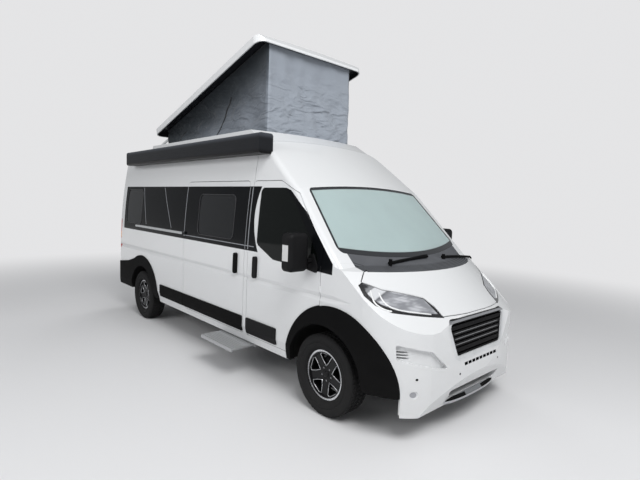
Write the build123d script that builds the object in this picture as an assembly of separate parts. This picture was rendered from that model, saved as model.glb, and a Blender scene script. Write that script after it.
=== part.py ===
import os
from math import asin, cos, hypot, pi, radians, sin, tan

from build123d import *

# Camper van with a raised pop roof, millimetres. +X forward, +Y left, +Z up, ground at Z = 0.

# Overall body
nose_x = 2999
rear_x = -2985
sill_z = 360
sill_half = 985
waist_half = 1022
waist_low_z = 520
shoulder_z = 1000
eaves_half = 905
eaves_z = 2330
roof_edge_z = 2500
crown_slope = radians(4.4)
rear_round = 90
wall = 50
seat_gap = 0.3
shut_gap = 6
groove_z = 1055
groove_half = 34
groove_depth = 13

# Front slopes: start (x, z), end (x, z), sideways bow, half width where the bow is measured
slope_table = {
    "nose": ((nose_x, 480), (2925, 990), 0, 900),
    "chin": ((2880, 220), (nose_x, 480), 0, 900),
    "hood": ((2925, 990), (2580, 1290), 138, 840),
    "cowl": ((2580, 1290), (2300, 1360), 40, 840),
    "screen": ((2300, 1360), (1610, 2055), 70, 930),
    "brow": ((1610, 2055), (1260, 2310), 60, 850),
    "fairing": ((1290, 2296), (730, 2632), 60, 850),
}
pillar_round = 60
taper_x = 1400
taper_end_x = 2480
taper_end_half = 1003
corner_x = 2925
corner_half = 660
corner_bulge_x = 2770
corner_bulge_half = 880
chin_z = 220
side_margin = 18

# Wheels and running gear
front_axle_x = 2051
rear_axle_x = -1984
tyre_radius = 362
tyre_width = 225
kingpin_half = 750
hub_reach = 155
track_half = kingpin_half + hub_reach
bead_radius = 205
rim_width = 152
rim_barrel_wall = 12
rim_face_out = 52
rim_face_thick = 30
spoke_count = 5
hub_radius = 75
stub_radius = 35
running_gap = 0.05
stub_end_gap = 1
kingpin_radius = 18
strut_radius = 32
disc_radius = 150
disc_thick = 24
upright_half_z = 205
axle_radius = 38

# Wheel arches: trim circle centre x, trim circle radius, liner radius
arch_centre_z = 375
front_arch = {"axle_x": front_axle_x, "centre_x": 2165, "trim_r": 620, "open_r": 450, "liner_r": 470,
              "inner_y": 570}
rear_arch = {"axle_x": rear_axle_x, "centre_x": -1990, "trim_r": 590, "open_r": 440, "liner_r": 452,
             "inner_y": 745}
liner_wall = 8
trim_proud = 12
trim_depth = 40
trim_foot_z = 372

# Doors and windows, side view (x, z)
slide_rear_x = -600
slide_front_x = 800
cab_rear_x = 872
cab_front_x = 1998
door_low_z = 440
door_top_z = 2062
glass_out = 4
glass_thick = 6
glass_gap = 0.3
rear_door_half = 870
rear_door_low_z = 565
rear_door_top_half = 815
hinge_radius = 9
hinge_pin_radius = 4
hinge_height = 28
hinge_room = 1
cab_hinge_x = 2001
cab_hinge_y = 1020
rear_hinge_x = -2989
rear_hinge_y = 873
strip_low_z = 462
strip_high_z = 628
strip_proud = 14
strip_rear_x = -1315
strip_front_x = 1395
handle_low_z = 1069
handle_high_z = 1292
handle_width = 62
handle_proud = 24

# Pop roof, modelled shut and then turned up about its rear pivot
pop_pivot_x = -2498
base_height = 130
base_rear_height = 75
pop_gap = 10
base_top_z = roof_edge_z + base_height
base_low_top_z = roof_edge_z + base_rear_height
pop_pivot_z = base_top_z + pop_gap
pop_open_deg = 16.2
pop_rear_x = -1996
pop_front_x = 840
pop_half = 822
pop_rim = 78
pop_crown = 118
pop_wall = 25
pop_corner = 110
pop_lip = 30
pop_nose_lean = 55
pop_tail_lean = 38
pop_arm_y = 560
pop_arm_width = 30
pop_arm_height = 26
pop_pin_radius = 10
pop_eye_radius = 22
base_half = 862
base_top_half = 838
base_rear_x = -2560
hatch_half = 640
hatch_rear_x = -1900
hatch_front_x = 620
tent_half = 662
tent_rear_x = -1930
tent_foot_x = 662
tent_head_x = 640
tent_wall = 8
tent_tuck = 60

# Underbody and cabin
floor_low_z = 500
floor_thick = 50
floor_front_x = 1500
tunnel_half = 560
firewall_x = 2240
firewall_thick = 25
rail_y = 420
rail_width = 80
rail_low_z = 420
spring_y = 600
spring_width = 70
spring_thick = 22
spring_reach = 650
spring_rise = 68
bonnet_gap = 10
bonnet_skin = 6
bonnet_thick = 24
bumper_wall = 55
lamp_gap = 0.3
awning_front_x = 1080
awning_rear_x = -2540
awning_low_z = 2335
awning_high_z = 2537
awning_out = 1055
awning_in = 880
step_front_x = 940
step_rear_x = 300
step_out = 1220
step_travel = 250
step_z = 324
step_thick = 18
far = 3000


def sheet(points, corner=0):
    """Flat face from corner points, all corners rounded when a radius is given."""
    face = make_face(Polyline(*points, close=True))
    return fillet(face.vertices(), corner) if corner else face


def along_x(face, low, high):
    """Push a face drawn in (y, z) from x = low to x = high."""
    plane = Plane(origin=(low, 0, 0), x_dir=(0, 1, 0), z_dir=(1, 0, 0))
    return extrude(plane * face, amount=high - low)


def along_y(face, low, high):
    """Push a face drawn in (x, z) from y = low to y = high."""
    plane = Plane(origin=(0, high, 0), x_dir=(1, 0, 0), z_dir=(0, -1, 0))
    return extrude(plane * face, amount=high - low)


def along_z(face, low, high):
    """Push a face drawn in (x, y) from z = low to z = high."""
    return extrude(Plane.XY.offset(low) * face, amount=high - low)


def block(x_low, x_high, y_low, y_high, z_low, z_high):
    """Axis-aligned box from its limits."""
    size = (x_high - x_low, y_high - y_low, z_high - z_low)
    centre = ((x_low + x_high) / 2, (y_low + y_high) / 2, (z_low + z_high) / 2)
    return Pos(*centre) * Box(*size)


def rod_y(radius, x, z, low, high):
    """Round bar along Y."""
    return Pos(x, (low + high) / 2, z) * Rot(90, 0, 0) * Cylinder(radius, high - low)


def rod_z(radius, x, y, low, high):
    """Round bar along Z."""
    return Pos(x, y, (low + high) / 2) * Cylinder(radius, high - low)


def right(face):
    """Cut a side-view face through the right-hand wall only."""
    return along_y(face, -far, -awning_in + wall)


def other_side(shape):
    """The mirror image on the left."""
    return mirror(shape, about=Plane.XZ)


def both_sides(shape):
    """A right-hand solid with its left-hand twin."""
    return Compound(children=[*shape.solids(), *other_side(shape).solids()])


def hinge(x, y, z):
    """Fixed half with its pin, moving half above, its bore, and the room each needs in the other panel."""
    split = z + hinge_height
    top = split + hinge_height
    fixed = rod_z(hinge_radius, x, y, z, split) + rod_z(hinge_pin_radius, x, y, split, top)
    moving = rod_z(hinge_radius, x, y, split + seat_gap, top)
    bore = rod_z(hinge_pin_radius + running_gap, x, y, split, top + 1)
    fixed_room = rod_z(hinge_radius + hinge_room, x, y, z - hinge_room, split + seat_gap)
    moving_room = rod_z(hinge_radius + hinge_room, x, y, split, top + hinge_room)
    return fixed, moving, bore, fixed_room, moving_room


def hang(door, frame, x, y, heights):
    """Fit hinges to a door and the panel that carries it."""
    for z in heights:
        fixed, moving, bore, fixed_room, moving_room = hinge(x, y, z)
        door = door - fixed_room + moving - bore
        frame = frame - moving_room + fixed
    return door, frame


# Body envelope: one cross-section pushed along X, cut by the plan outline and the front slopes

def section(inset, bottom):
    """Cross-section in (y, z) with leaning sides and a crowned roof, shrunk by inset."""
    drop = waist_half - eaves_half
    rise = eaves_z - shoulder_z
    side_radius = (drop**2 + rise**2) / (2 * drop)
    lean = asin(rise / side_radius)
    chord = (pi / 2 + lean + pi - crown_slope) / 2
    corner_run = (roof_edge_z - eaves_z) / sin(chord)
    roof_half = eaves_half + corner_run * cos(chord)
    middle = (waist_half - side_radius * (1 - cos(lean / 2)), shoulder_z + side_radius * sin(lean / 2))
    crown_z = roof_edge_z + roof_half * tan(crown_slope / 2)
    edges = [Line((sill_half, bottom), (-sill_half, bottom))]
    for s in (1, -1):
        foot = [(s * sill_half, sill_z)]
        if bottom < sill_z:
            foot.insert(0, (s * sill_half, bottom))
        edges += Polyline(*foot, (s * waist_half, waist_low_z), (s * waist_half, shoulder_z)).edges()
        edges.append(ThreePointArc((s * waist_half, shoulder_z), (s * middle[0], middle[1]),
                                   (s * eaves_half, eaves_z)))
        edges.append(TangentArc((s * eaves_half, eaves_z), (s * roof_half, roof_edge_z),
                                tangent=(-s * sin(lean), cos(lean))))
    edges.append(ThreePointArc((roof_half, roof_edge_z), (0, crown_z), (-roof_half, roof_edge_z)))
    face = make_face(edges)
    return offset(face, amount=-inset, kind=Kind.INTERSECTION) if inset else face


def tube_body(inset, bottom):
    """The cross-section as a long body with a rounded rear end."""
    body = along_x(section(inset, bottom), rear_x + inset, nose_x + far)
    rear_face = body.faces().sort_by(Axis.X)[0]
    rear_edges = [edge for edge in rear_face.edges() if edge.center().Z > waist_low_z]
    return fillet(rear_edges, rear_round - inset * 0.8)


def plan_outline(inset):
    """Top-view outline: straight sides, a gentle taper beside the cab and a rounded nose."""
    half = waist_half + side_margin - inset
    taper_end = (taper_end_x, taper_end_half - inset)
    bulge = (corner_bulge_x - inset * 0.7, corner_bulge_half - inset * 0.7)
    corner = (corner_x - inset * 0.9, corner_half - inset * 0.6)
    middle_x = (taper_x + taper_end_x) / 2
    middle_half = (half + taper_end[1]) / 2 + side_margin / 2
    edges = Polyline((taper_x, -half), (rear_x - far, -half), (rear_x - far, half), (taper_x, half)).edges()
    for s in (1, -1):
        edges.append(ThreePointArc((taper_x, s * half), (middle_x, s * middle_half),
                                   (taper_end[0], s * taper_end[1])))
        edges.append(ThreePointArc((taper_end[0], s * taper_end[1]), (bulge[0], s * bulge[1]),
                                   (corner[0], s * corner[1])))
    edges.append(ThreePointArc(corner, (nose_x - inset, 0), (corner[0], -corner[1])))
    return make_face(edges)


def slope(name, inset):
    """Everything behind or below one of the front slopes, bowed across the width."""
    start, end, bow, half = slope_table[name]
    run = hypot(end[0] - start[0], end[1] - start[1])
    along = ((end[0] - start[0]) / run, (end[1] - start[1]) / run)
    side = 1 if along[1] > 0 else -1
    out = (side * along[1], -side * along[0])
    origin = (start[0] - out[0] * inset, 0, start[1] - out[1] * inset)
    plane = Plane(origin=origin, x_dir=(0, 1, 0), z_dir=(along[0], 0, along[1]))
    up = 1 if plane.y_dir.X * out[0] + plane.y_dir.Z * out[1] > 0 else -1
    width = half * 1.5
    sag = bow * 1.5**2
    top = Line((width, 0), (-width, 0))
    if bow:
        top = ThreePointArc((width, -up * sag), (0, 0), (-width, -up * sag))
    walls = Polyline((width, -up * sag), (width, -up * 2 * far), (-width, -up * 2 * far), (-width, -up * sag))
    return extrude(plane * make_face([*walls.edges(), top]), amount=2 * far, both=True)


def flanks(inset, bottom=sill_z):
    """Body with its sides, roof, tail and plan outline but no front slopes."""
    return tube_body(inset, bottom) & along_z(plan_outline(inset), 0, far)


def envelope(inset, bottom=sill_z):
    """The whole body without wheels, solid, shrunk by inset."""
    body = flanks(inset, bottom) & slope("nose", inset)
    front = body & slope("hood", inset) & slope("cowl", inset)
    cabin = body & slope("screen", inset) & slope("brow", inset)
    return front + cabin


def rounded(body):
    """Round the pillars, the brow and its edge to the roof."""
    edges = []
    for x, y, z in ((1896, 994, 1654), (1344, 933, 2160), (989, 855, 2433), (961, 0, 2528)):
        for s in (1, -1) if y else (1,):
            edges.append(min(body.edges(), key=lambda e: (e.center() - Vector(x, s * y, z)).length))
    return fillet(edges, pillar_round)


def groove(side):
    """Long shallow V groove below the belt, on one side."""
    tip = waist_half - groove_depth
    lip = waist_half + 2 * side_margin
    spread = groove_half * (lip - tip) / groove_depth
    points = [(side * tip, groove_z), (side * lip, groove_z - spread), (side * lip, groove_z + spread)]
    return along_x(sheet(points), rear_x + rear_round, cab_front_x + far)


open_bottom_z = sill_z - 200
body_outer = rounded(envelope(0)) - groove(1) - groove(-1)
body_inner = envelope(wall, open_bottom_z)
shell = body_outer - body_inner
pane_layer = envelope(glass_out) - envelope(glass_out + glass_thick, open_bottom_z)
cabin_space = envelope(wall + seat_gap, open_bottom_z)
clad_layer = flanks(-trim_proud) - flanks(trim_depth, open_bottom_z)
strip_layer = flanks(-strip_proud) - flanks(-seat_gap, open_bottom_z)
body_clear = envelope(-seat_gap, open_bottom_z)

# Side-view outlines


def arch_face(arch, radius):
    """Round wheel opening that runs on straight below its centre."""
    round_part = Pos(arch["centre_x"], arch_centre_z) * Circle(radius)
    return round_part + Pos(arch["centre_x"], arch_centre_z - radius / 2) * Rectangle(2 * radius, radius)


def rect(x_low, x_high, z_low, z_high, corner=0):
    """Upright rectangle in a flat view."""
    return sheet([(x_low, z_low), (x_high, z_low), (x_high, z_high), (x_low, z_high)], corner)


door_corner = 45
pillar_foot = (2012, 1470)
pillar_head = (1600, 1945)
pillar_top_x = 1330
cab_edge = sheet([(cab_rear_x, door_low_z), (cab_front_x, door_low_z), (cab_front_x, shoulder_z + 330),
                  pillar_foot, pillar_head, (pillar_top_x, door_top_z), (cab_rear_x, door_top_z)],
                 door_corner)
cab_outline = cab_edge - arch_face(front_arch, front_arch["trim_r"] + shut_gap)
slide_outline = rect(slide_rear_x, slide_front_x, door_low_z, door_top_z, door_corner)
cab_window = sheet([(1012, 1995), (1012, 1420), (1300, 1292), (1930, 1268), (1955, 1390), (1560, 1880),
                    (1385, 1995)], 55)
slide_window = rect(-255, 560, 1425, 1915, 70)
rear_window = rect(-2690, -2060, 1440, 1960, 70)
left_windows = [rect(-2690, -1900, 1410, 1960, 70), rect(-300, 620, 1425, 1940, 70)]

# Cab doors

door_right = shell & right(cab_outline)
door_right = door_right - right(cab_window)
pane_right = pane_layer & right(offset(cab_window, amount=-glass_gap))


def side_handle(rear_edge_x):
    """Upright grip block on the door skin."""
    face = rect(rear_edge_x, rear_edge_x + handle_width, handle_low_z, handle_high_z, handle_width * 0.4)
    layer = flanks(-handle_proud) - flanks(-seat_gap, open_bottom_z)
    return layer & right(face)


cab_handle_x = 990
slide_handle_x = 620
cab_strip = strip_layer & right(rect(cab_rear_x + shut_gap, strip_front_x, strip_low_z, strip_high_z, 12))

# Door mirror: housing, arm and foot on the front corner of the window
mirror_x = 1840
mirror_in = 1062
mirror_out = 1280
mirror_low_z = 1262
mirror_high_z = 1598
mirror_depth = 110
mirror_foot = sheet([(1790, 1275), (1948, 1252), (1966, 1292), (1900, 1420), (1850, 1400)], 14)


def door_mirror():
    """Tall housing with a rounded shell, carried on two arms from a foot on the door."""
    outline = rect(-mirror_out, -mirror_in, mirror_low_z, mirror_high_z, 48)
    housing = along_x(outline, mirror_x - mirror_depth / 2, mirror_x + mirror_depth / 2)
    front = housing.faces().sort_by(Axis.X)[-1]
    housing = fillet(front.edges(), 40)
    foot = (flanks(-strip_proud) - flanks(-seat_gap, open_bottom_z)) & right(mirror_foot)
    arms = block(mirror_x + 10, mirror_x + 50, -mirror_in - 10, -waist_half + 12, 1290, 1330)
    arms += block(mirror_x + 10, mirror_x + 50, -mirror_in - 10, -waist_half + 22, 1345, 1375)
    return housing + foot + (arms - flanks(-seat_gap, open_bottom_z))


trim_parts = Compound(children=[*cab_strip.solids(), *side_handle(cab_handle_x).solids(),
                                *door_mirror().solids()])

# Sliding door and body sides

slide_door = (shell & right(slide_outline)) - right(slide_window)
slide_pane = pane_layer & right(offset(slide_window, amount=-glass_gap))

rear_clad_points = [(rear_x - 40, 402), (rear_x - 40, 765), (-2520, 830), (-2250, 900), (-1990, 900),
                    (-1990, 402)]
rear_clad_face = sheet(rear_clad_points)
rear_clad_face = rear_clad_face + Pos(rear_arch["centre_x"], arch_centre_z) * Circle(rear_arch["trim_r"])
rear_clad_cut = offset(rear_clad_face, amount=seat_gap)
rear_clad_cut = rear_clad_cut + arch_face(rear_arch, rear_arch["trim_r"] + seat_gap)
side_face = sheet([(rear_x - 40, sill_z - 20), (cab_front_x, sill_z - 20),
                   (cab_front_x, door_low_z - shut_gap),
                   (cab_rear_x - shut_gap, door_low_z - shut_gap), (cab_rear_x - shut_gap, eaves_z),
                   (rear_x - 40, eaves_z)])
side_blank = shell & along_y(side_face, -far, -1)
tail_cut_half = rear_door_half + shut_gap
tail_top_half = rear_door_top_half + shut_gap
tail_cut = along_x(sheet([(-tail_cut_half, 0), (tail_cut_half, 0), (tail_cut_half, 1500),
                          (tail_top_half, eaves_z),
                          (tail_top_half, far), (-tail_top_half, far), (-tail_top_half, eaves_z),
                          (-tail_cut_half, 1500)]), rear_x - far, rear_x + 4 * wall)
lamp_low_z = 1000
lamp_high_z = 1480
tail_lamp_box = along_x(rect(-far, -tail_cut_half - 14, lamp_low_z, lamp_high_z), rear_x - 20, rear_x + 118)
tail_lamp = shell & tail_lamp_box
side_blank = side_blank - tail_cut - right(rear_clad_cut)
side_blank = side_blank - along_x(rect(-far, -tail_cut_half - 14 + lamp_gap, lamp_low_z - lamp_gap,
                                       lamp_high_z + lamp_gap),
                                  rear_x - 20, rear_x + 118 + lamp_gap)
side_blank = side_blank - right(arch_face(front_arch, front_arch["trim_r"] + seat_gap))
body_side_right = side_blank - right(offset(slide_outline, amount=shut_gap)) - right(rear_window)
rail_low_edge = 1392
rail_face = rect(-2250, slide_rear_x - 50, rail_low_edge, rail_low_edge + 28, 8)
carriage_face = rect(slide_rear_x - 44, slide_rear_x + 40, rail_low_edge - 12, rail_low_edge + 40, 8)
carriage = (flanks(-strip_proud) - flanks(-seat_gap, open_bottom_z)) & right(carriage_face)
slide_door += (flanks(-strip_proud) - flanks(5, open_bottom_z)) & right(carriage_face & slide_outline)
slide_door += carriage
rail = (flanks(-strip_proud) - flanks(5, open_bottom_z)) & right(rail_face)
body_side_right = (body_side_right + rail).solids().sort_by(SortBy.VOLUME)[-1]
body_side_left = other_side(side_blank)
left_panes = []
for window in left_windows:
    opening = other_side(right(window))
    body_side_left = body_side_left - opening
    left_panes.append(other_side(pane_layer & right(offset(window, amount=-glass_gap))))
body_side_left = body_side_left.solids().sort_by(SortBy.VOLUME)[-1]
rear_pane = pane_layer & right(offset(rear_window, amount=-glass_gap))
fixed_panes = Compound(children=[s for p in (slide_pane, rear_pane, *left_panes) for s in p.solids()])

# Claddings: arch trims, rear corners and rub strips, all proud of the skin


def axle_hole(arch, radius):
    """Round cut about a wheel axle, straight below it."""
    hole = Pos(arch["axle_x"], tyre_radius) * Circle(radius)
    return hole + Pos(arch["axle_x"], tyre_radius - radius / 2) * Rectangle(2 * radius, radius)


front_trim_face = arch_face(front_arch, front_arch["trim_r"]) - axle_hole(front_arch, front_arch["open_r"])
front_trim_face = front_trim_face & rect(0, 2 * far, trim_foot_z, far)
rear_trim_face = rear_clad_face - axle_hole(rear_arch, rear_arch["open_r"])
rear_trim_face = rear_trim_face & rect(-2 * far, 0, trim_foot_z + 30, far)
front_trim = clad_layer & right(front_trim_face)
rear_trim = (clad_layer & right(rear_trim_face)) - tail_cut
rear_trim = rear_trim - block(rear_x - 100, rear_x + 2, -far, far, 0, far)
slide_strip = rect(slide_rear_x + shut_gap, slide_front_x - shut_gap, strip_low_z, strip_high_z, 12)
rear_strip = rect(strip_rear_x, slide_rear_x - shut_gap, strip_low_z, strip_high_z, 12)
left_strip = rect(strip_rear_x, slide_front_x, strip_low_z, strip_high_z, 12)
clad_parts = [*both_sides(front_trim).solids(), *both_sides(rear_trim).solids()]
clad_parts += (strip_layer & right(slide_strip)).solids() + (strip_layer & right(rear_strip)).solids()
clad_parts += other_side(strip_layer & right(left_strip)).solids() + side_handle(slide_handle_x).solids()
side_claddings = Compound(children=clad_parts)


def liner(arch):
    """Half-round wheel housing between the arch trim and the inner structure."""
    outer = arch["liner_r"] + liner_wall
    ring = Pos(arch["axle_x"], tyre_radius) * (Circle(outer) - Circle(arch["liner_r"]))
    ring = ring & rect(-2 * far, 2 * far, tyre_radius + 12, far)
    return along_y(ring, -far, -arch["inner_y"]) & flanks(trim_depth + seat_gap, open_bottom_z)


front_liner = liner(front_arch)
rear_liner = liner(rear_arch)
housing_face = Pos(rear_axle_x, tyre_radius) * Circle(rear_arch["liner_r"])
housing_face = housing_face & rect(-2 * far, 0, floor_low_z + floor_thick + 1, far)
rear_liner += along_y(housing_face, -rear_arch["inner_y"] - liner_wall, -rear_arch["inner_y"])
wheel_liners = Compound(children=[*both_sides(front_liner).solids(), *both_sides(rear_liner).solids()])

# Front end: bonnet, lamps, wings, scuttle, screen and cab frame

bonnet_rear_half = 850
bonnet_rear_x = 2352
bonnet_mid_x = 2572
bonnet_low_z = 983
# Side edge of the bonnet in top view, from its rear corner along the top of the lamp: x, half width
bonnet_side = [(2392, 925), (2511, 812), (2612, 662), (2707, 512), (2790, 470), (2915, 456),
               (nose_x + 40, 440)]


def bonnet_face(grow):
    """Top-view outline of the bonnet."""
    rear_arc = ThreePointArc((bonnet_rear_x, -bonnet_rear_half), (bonnet_mid_x, 0),
                             (bonnet_rear_x, bonnet_rear_half))
    left = [(bonnet_rear_x, bonnet_rear_half), *bonnet_side]
    rest = Polyline(*left, *[(x, -half) for x, half in reversed(left)])
    face = make_face([rear_arc, *rest.edges()])
    return offset(face, amount=grow) if grow else face


bonnet_cut = along_z(bonnet_face(bonnet_gap), bonnet_low_z - shut_gap, far)
bonnet_upper = along_z(bonnet_face(0), bonnet_low_z, far)
bonnet_under = along_z(bonnet_face(-25), bonnet_low_z + 12, far)
bonnet_skin_inner = envelope(bonnet_skin, open_bottom_z)
bonnet = (body_outer - bonnet_skin_inner) & bonnet_upper
bonnet += (bonnet_skin_inner - envelope(bonnet_thick, open_bottom_z)) & bonnet_under
bonnet_hinge_x = 2343
bonnet_hinge_z = 1296
bonnet_hinge_y = bonnet_rear_half - 30
bonnet_arm_width = 24
bonnet_arm_length = 60
bonnet_arm_high_z = bonnet_hinge_z + 1
for s in (1, -1):
    low_y = s * bonnet_hinge_y - bonnet_arm_width / 2
    high_y = low_y + bonnet_arm_width
    arm = block(bonnet_hinge_x, bonnet_hinge_x + bonnet_arm_length, low_y, high_y, bonnet_hinge_z - 21,
                bonnet_arm_high_z)
    bonnet += arm & envelope(1, open_bottom_z)
    bonnet += rod_y(hinge_radius, bonnet_hinge_x, bonnet_hinge_z, low_y, high_y)
    bonnet -= rod_y(hinge_pin_radius + running_gap, bonnet_hinge_x, bonnet_hinge_z, low_y - 1, high_y + 1)

lamp_points = [(2950, 956), (2774, 1000), (2666, 1026), (2564, 1076), (2473, 1139), (2396, 1212),
               (2396, 1300),
               (2560, 1330), (2950, 1150)]
lamp_half = 462
headlamp = (shell & along_y(sheet(lamp_points), -far, -lamp_half)) - bonnet_cut
headlamp = headlamp.solids().sort_by(SortBy.VOLUME)[-1]
lamp_cut = along_y(offset(sheet(lamp_points), amount=lamp_gap), -far, -lamp_half + lamp_gap) + along_y(
    offset(sheet(lamp_points), amount=lamp_gap), lamp_half - lamp_gap, far)

wing_front_x = 2560
wing_top_z = 1362
screen_low = (925, 1445)
screen_low_mid = 1376
screen_high = (832, 2000)
screen_high_mid = 2042


def screen_face(grow):
    """Front-view outline of the windscreen."""
    edges = [ThreePointArc((-screen_low[0], screen_low[1]), (0, screen_low_mid), screen_low),
             Line(screen_low, screen_high),
             ThreePointArc(screen_high, (0, screen_high_mid), (-screen_high[0], screen_high[1])),
             Line((-screen_high[0], screen_high[1]), (-screen_low[0], screen_low[1]))]
    face = make_face(edges)
    face = fillet(face.vertices(), 55)
    return offset(face, amount=grow) if grow else face


scuttle_half = 850
screen_cut = along_x(screen_face(0), 1200, 2700)
windscreen = pane_layer & along_x(screen_face(-glass_gap), 1200, 2700)
scuttle_box = block(2060, 2700, -scuttle_half, scuttle_half, 1180, 1470)
cab_doors_cut = right(offset(cab_edge, amount=shut_gap))
cab_doors_cut = cab_doors_cut + other_side(cab_doors_cut)
scuttle = (shell & scuttle_box) - screen_cut - bonnet_cut
scuttle = scuttle & block(0, far, -far, far, 1180, screen_low[1] + 60)
scuttle = scuttle.solids().sort_by(SortBy.VOLUME)[-1]
pocket_room = 4
for s in (1, -1):
    low_y = s * bonnet_hinge_y - bonnet_arm_width / 2 - pocket_room
    high_y = low_y + bonnet_arm_width + 2 * pocket_room
    scuttle -= block(bonnet_hinge_x - hinge_radius - pocket_room, bonnet_hinge_x + far, low_y, high_y,
                     bonnet_hinge_z - 24, far)
    scuttle += rod_y(hinge_pin_radius, bonnet_hinge_x, bonnet_hinge_z, low_y - 9, high_y + 9)
scuttle_cut = block(2060 - seat_gap, 2400, -scuttle_half - seat_gap, scuttle_half + seat_gap, 1180,
                    1470 + seat_gap)

cab_frame = shell & block(cab_rear_x, nose_x, -far, far, wing_top_z + seat_gap, far)
cab_frame = cab_frame - cab_doors_cut - screen_cut - scuttle_cut - bonnet_cut
cab_frame = cab_frame.solids().sort_by(SortBy.VOLUME)[-1]

wing = shell & block(cab_front_x + shut_gap, wing_front_x, -far, -lamp_half, sill_z - 20, wing_top_z)
wing = wing - bonnet_cut - lamp_cut - scuttle_cut
wing = wing - right(arch_face(front_arch, front_arch["trim_r"] + seat_gap))
wing = wing.solids().sort_by(SortBy.VOLUME)[-1]
cab_hinge_heights = (1098, 1268)
door_right, wing = hang(door_right, wing, cab_hinge_x, -cab_hinge_y, cab_hinge_heights)
front_wings = both_sides(wing)

# Front bumper with grille opening, side scoops and fog lamps


def bumper_block(inset, low_z):
    """Rounded nose block below the bonnet."""
    body = along_z(plan_outline(inset), low_z, far)
    return body & slope("nose", inset) & slope("chin", inset) & slope("hood", inset)


grille_top_half = 458
grille_top_z = 926
grille_low_half = 368
grille_low_z = 654
surround_width = 34
grille_face = sheet([(-grille_low_half, grille_low_z), (grille_low_half, grille_low_z),
                     (grille_top_half, grille_top_z), (-grille_top_half, grille_top_z)], 40)
surround_face = offset(grille_face, amount=surround_width)
bumper_shell = bumper_block(0, chin_z) - bumper_block(bumper_wall, chin_z - 100)
nose_zone = nose_x - 399
bumper_corner_z = 1100
bumper_limits = block(wing_front_x + seat_gap, nose_x + far, -far, far, 0, bonnet_low_z - shut_gap)
for s in (1, -1):
    bumper_limits += block(wing_front_x + seat_gap, nose_x + far, *sorted((s * lamp_half, s * far)), 0,
                           bumper_corner_z)
bumper = (bumper_shell & bumper_limits) - bonnet_cut
bumper = bumper - lamp_cut - along_x(offset(surround_face, amount=seat_gap), nose_zone, nose_x + far)
arch_cut = right(arch_face(front_arch, front_arch["trim_r"] + seat_gap))
bumper = bumper - arch_cut - other_side(arch_cut)
scoop = sheet([(-900, 796), (-661, 739), (-478, 580), (-560, 586), (-893, 676)], 10)
fog_y = 788
fog_z = 405
fog_radius = 30
scoop_depth = 30
scoop_cut = along_x(scoop, 2300, nose_x + far) - bumper_block(scoop_depth, 0)
for shape in (scoop_cut, other_side(scoop_cut)):
    bumper = bumper - shape
slot_rows = [(-846, 735), (-842, 712), (-838, 689)]
for s in (1, -1):
    for slot_y, slot_z in slot_rows:
        bumper = bumper - along_x(Pos(s * slot_y, slot_z) * Rectangle(70, 12), 2300, nose_x + far)
    bumper = bumper - along_x(Pos(s * fog_y, fog_z) * Circle(fog_radius + lamp_gap), 2300, nose_x + far)
lower_slots = 9
for i in range(lower_slots):
    slot_y = (i - (lower_slots - 1) / 2) * 62
    bumper = bumper - along_x(Pos(slot_y, 578) * Rectangle(44, 16), nose_zone, nose_x + far)
intake = sheet([(-380, 300), (380, 300), (430, 372), (-430, 372)], 20)
bumper = bumper - along_x(intake, nose_zone, nose_x + far)
bumper = bumper.solids().sort_by(SortBy.VOLUME)[-1]
fog_lamp = along_x(Pos(-fog_y, fog_z) * Circle(fog_radius), 2300, nose_x + far) & (
    bumper_block(6, chin_z) - bumper_block(bumper_wall, 0))
grille_surround = (bumper_shell & along_x(surround_face - offset(grille_face, amount=seat_gap), nose_zone,
                                          nose_x + far))
grille_surround = (grille_surround & block(0, 2 * far, -far, far, 0, bonnet_low_z - shut_gap)) - lamp_cut
buffer_x = 2796
buffer_y = 260
buffer_low_z = grille_top_z + 9
buffer_high_z = buffer_low_z + 20
for s in (1, -1):
    low_y = s * buffer_y - 20
    grille_surround += block(buffer_x, 2900, low_y, low_y + 40, buffer_low_z, buffer_high_z)
    post = block(buffer_x, buffer_x + 35, low_y, low_y + 40, buffer_low_z, far)
    grille_surround += post & envelope(bonnet_thick + seat_gap, open_bottom_z)
grille_front = 14
grille_back = 44
slat_count = 5
slat_height = 32
grille_layer = bumper_block(grille_front, chin_z) - bumper_block(grille_back, 0)
grille_edge = grille_face - offset(grille_face, amount=-14)
grille_lines = grille_edge
for i in range(slat_count):
    z = grille_low_z + (i + 1) * (grille_top_z - grille_low_z) / (slat_count + 1)
    grille_lines += Pos(0, z) * Rectangle(2 * grille_top_half, slat_height)
grille = grille_layer & along_x(grille_lines & grille_face, nose_zone, nose_x + far)
front_lamps = Compound(children=[*both_sides(headlamp).solids(), *both_sides(fog_lamp).solids()])

# Roof panel, roof base with its front fairing, awning case

roof_panel = shell & block(rear_x - far, cab_rear_x - seat_gap, -far, far, eaves_z + seat_gap, far)
hatch_cut = block(hatch_rear_x, hatch_front_x, -hatch_half, hatch_half, eaves_z - 200, far)
roof_panel = roof_panel - hatch_cut

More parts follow.
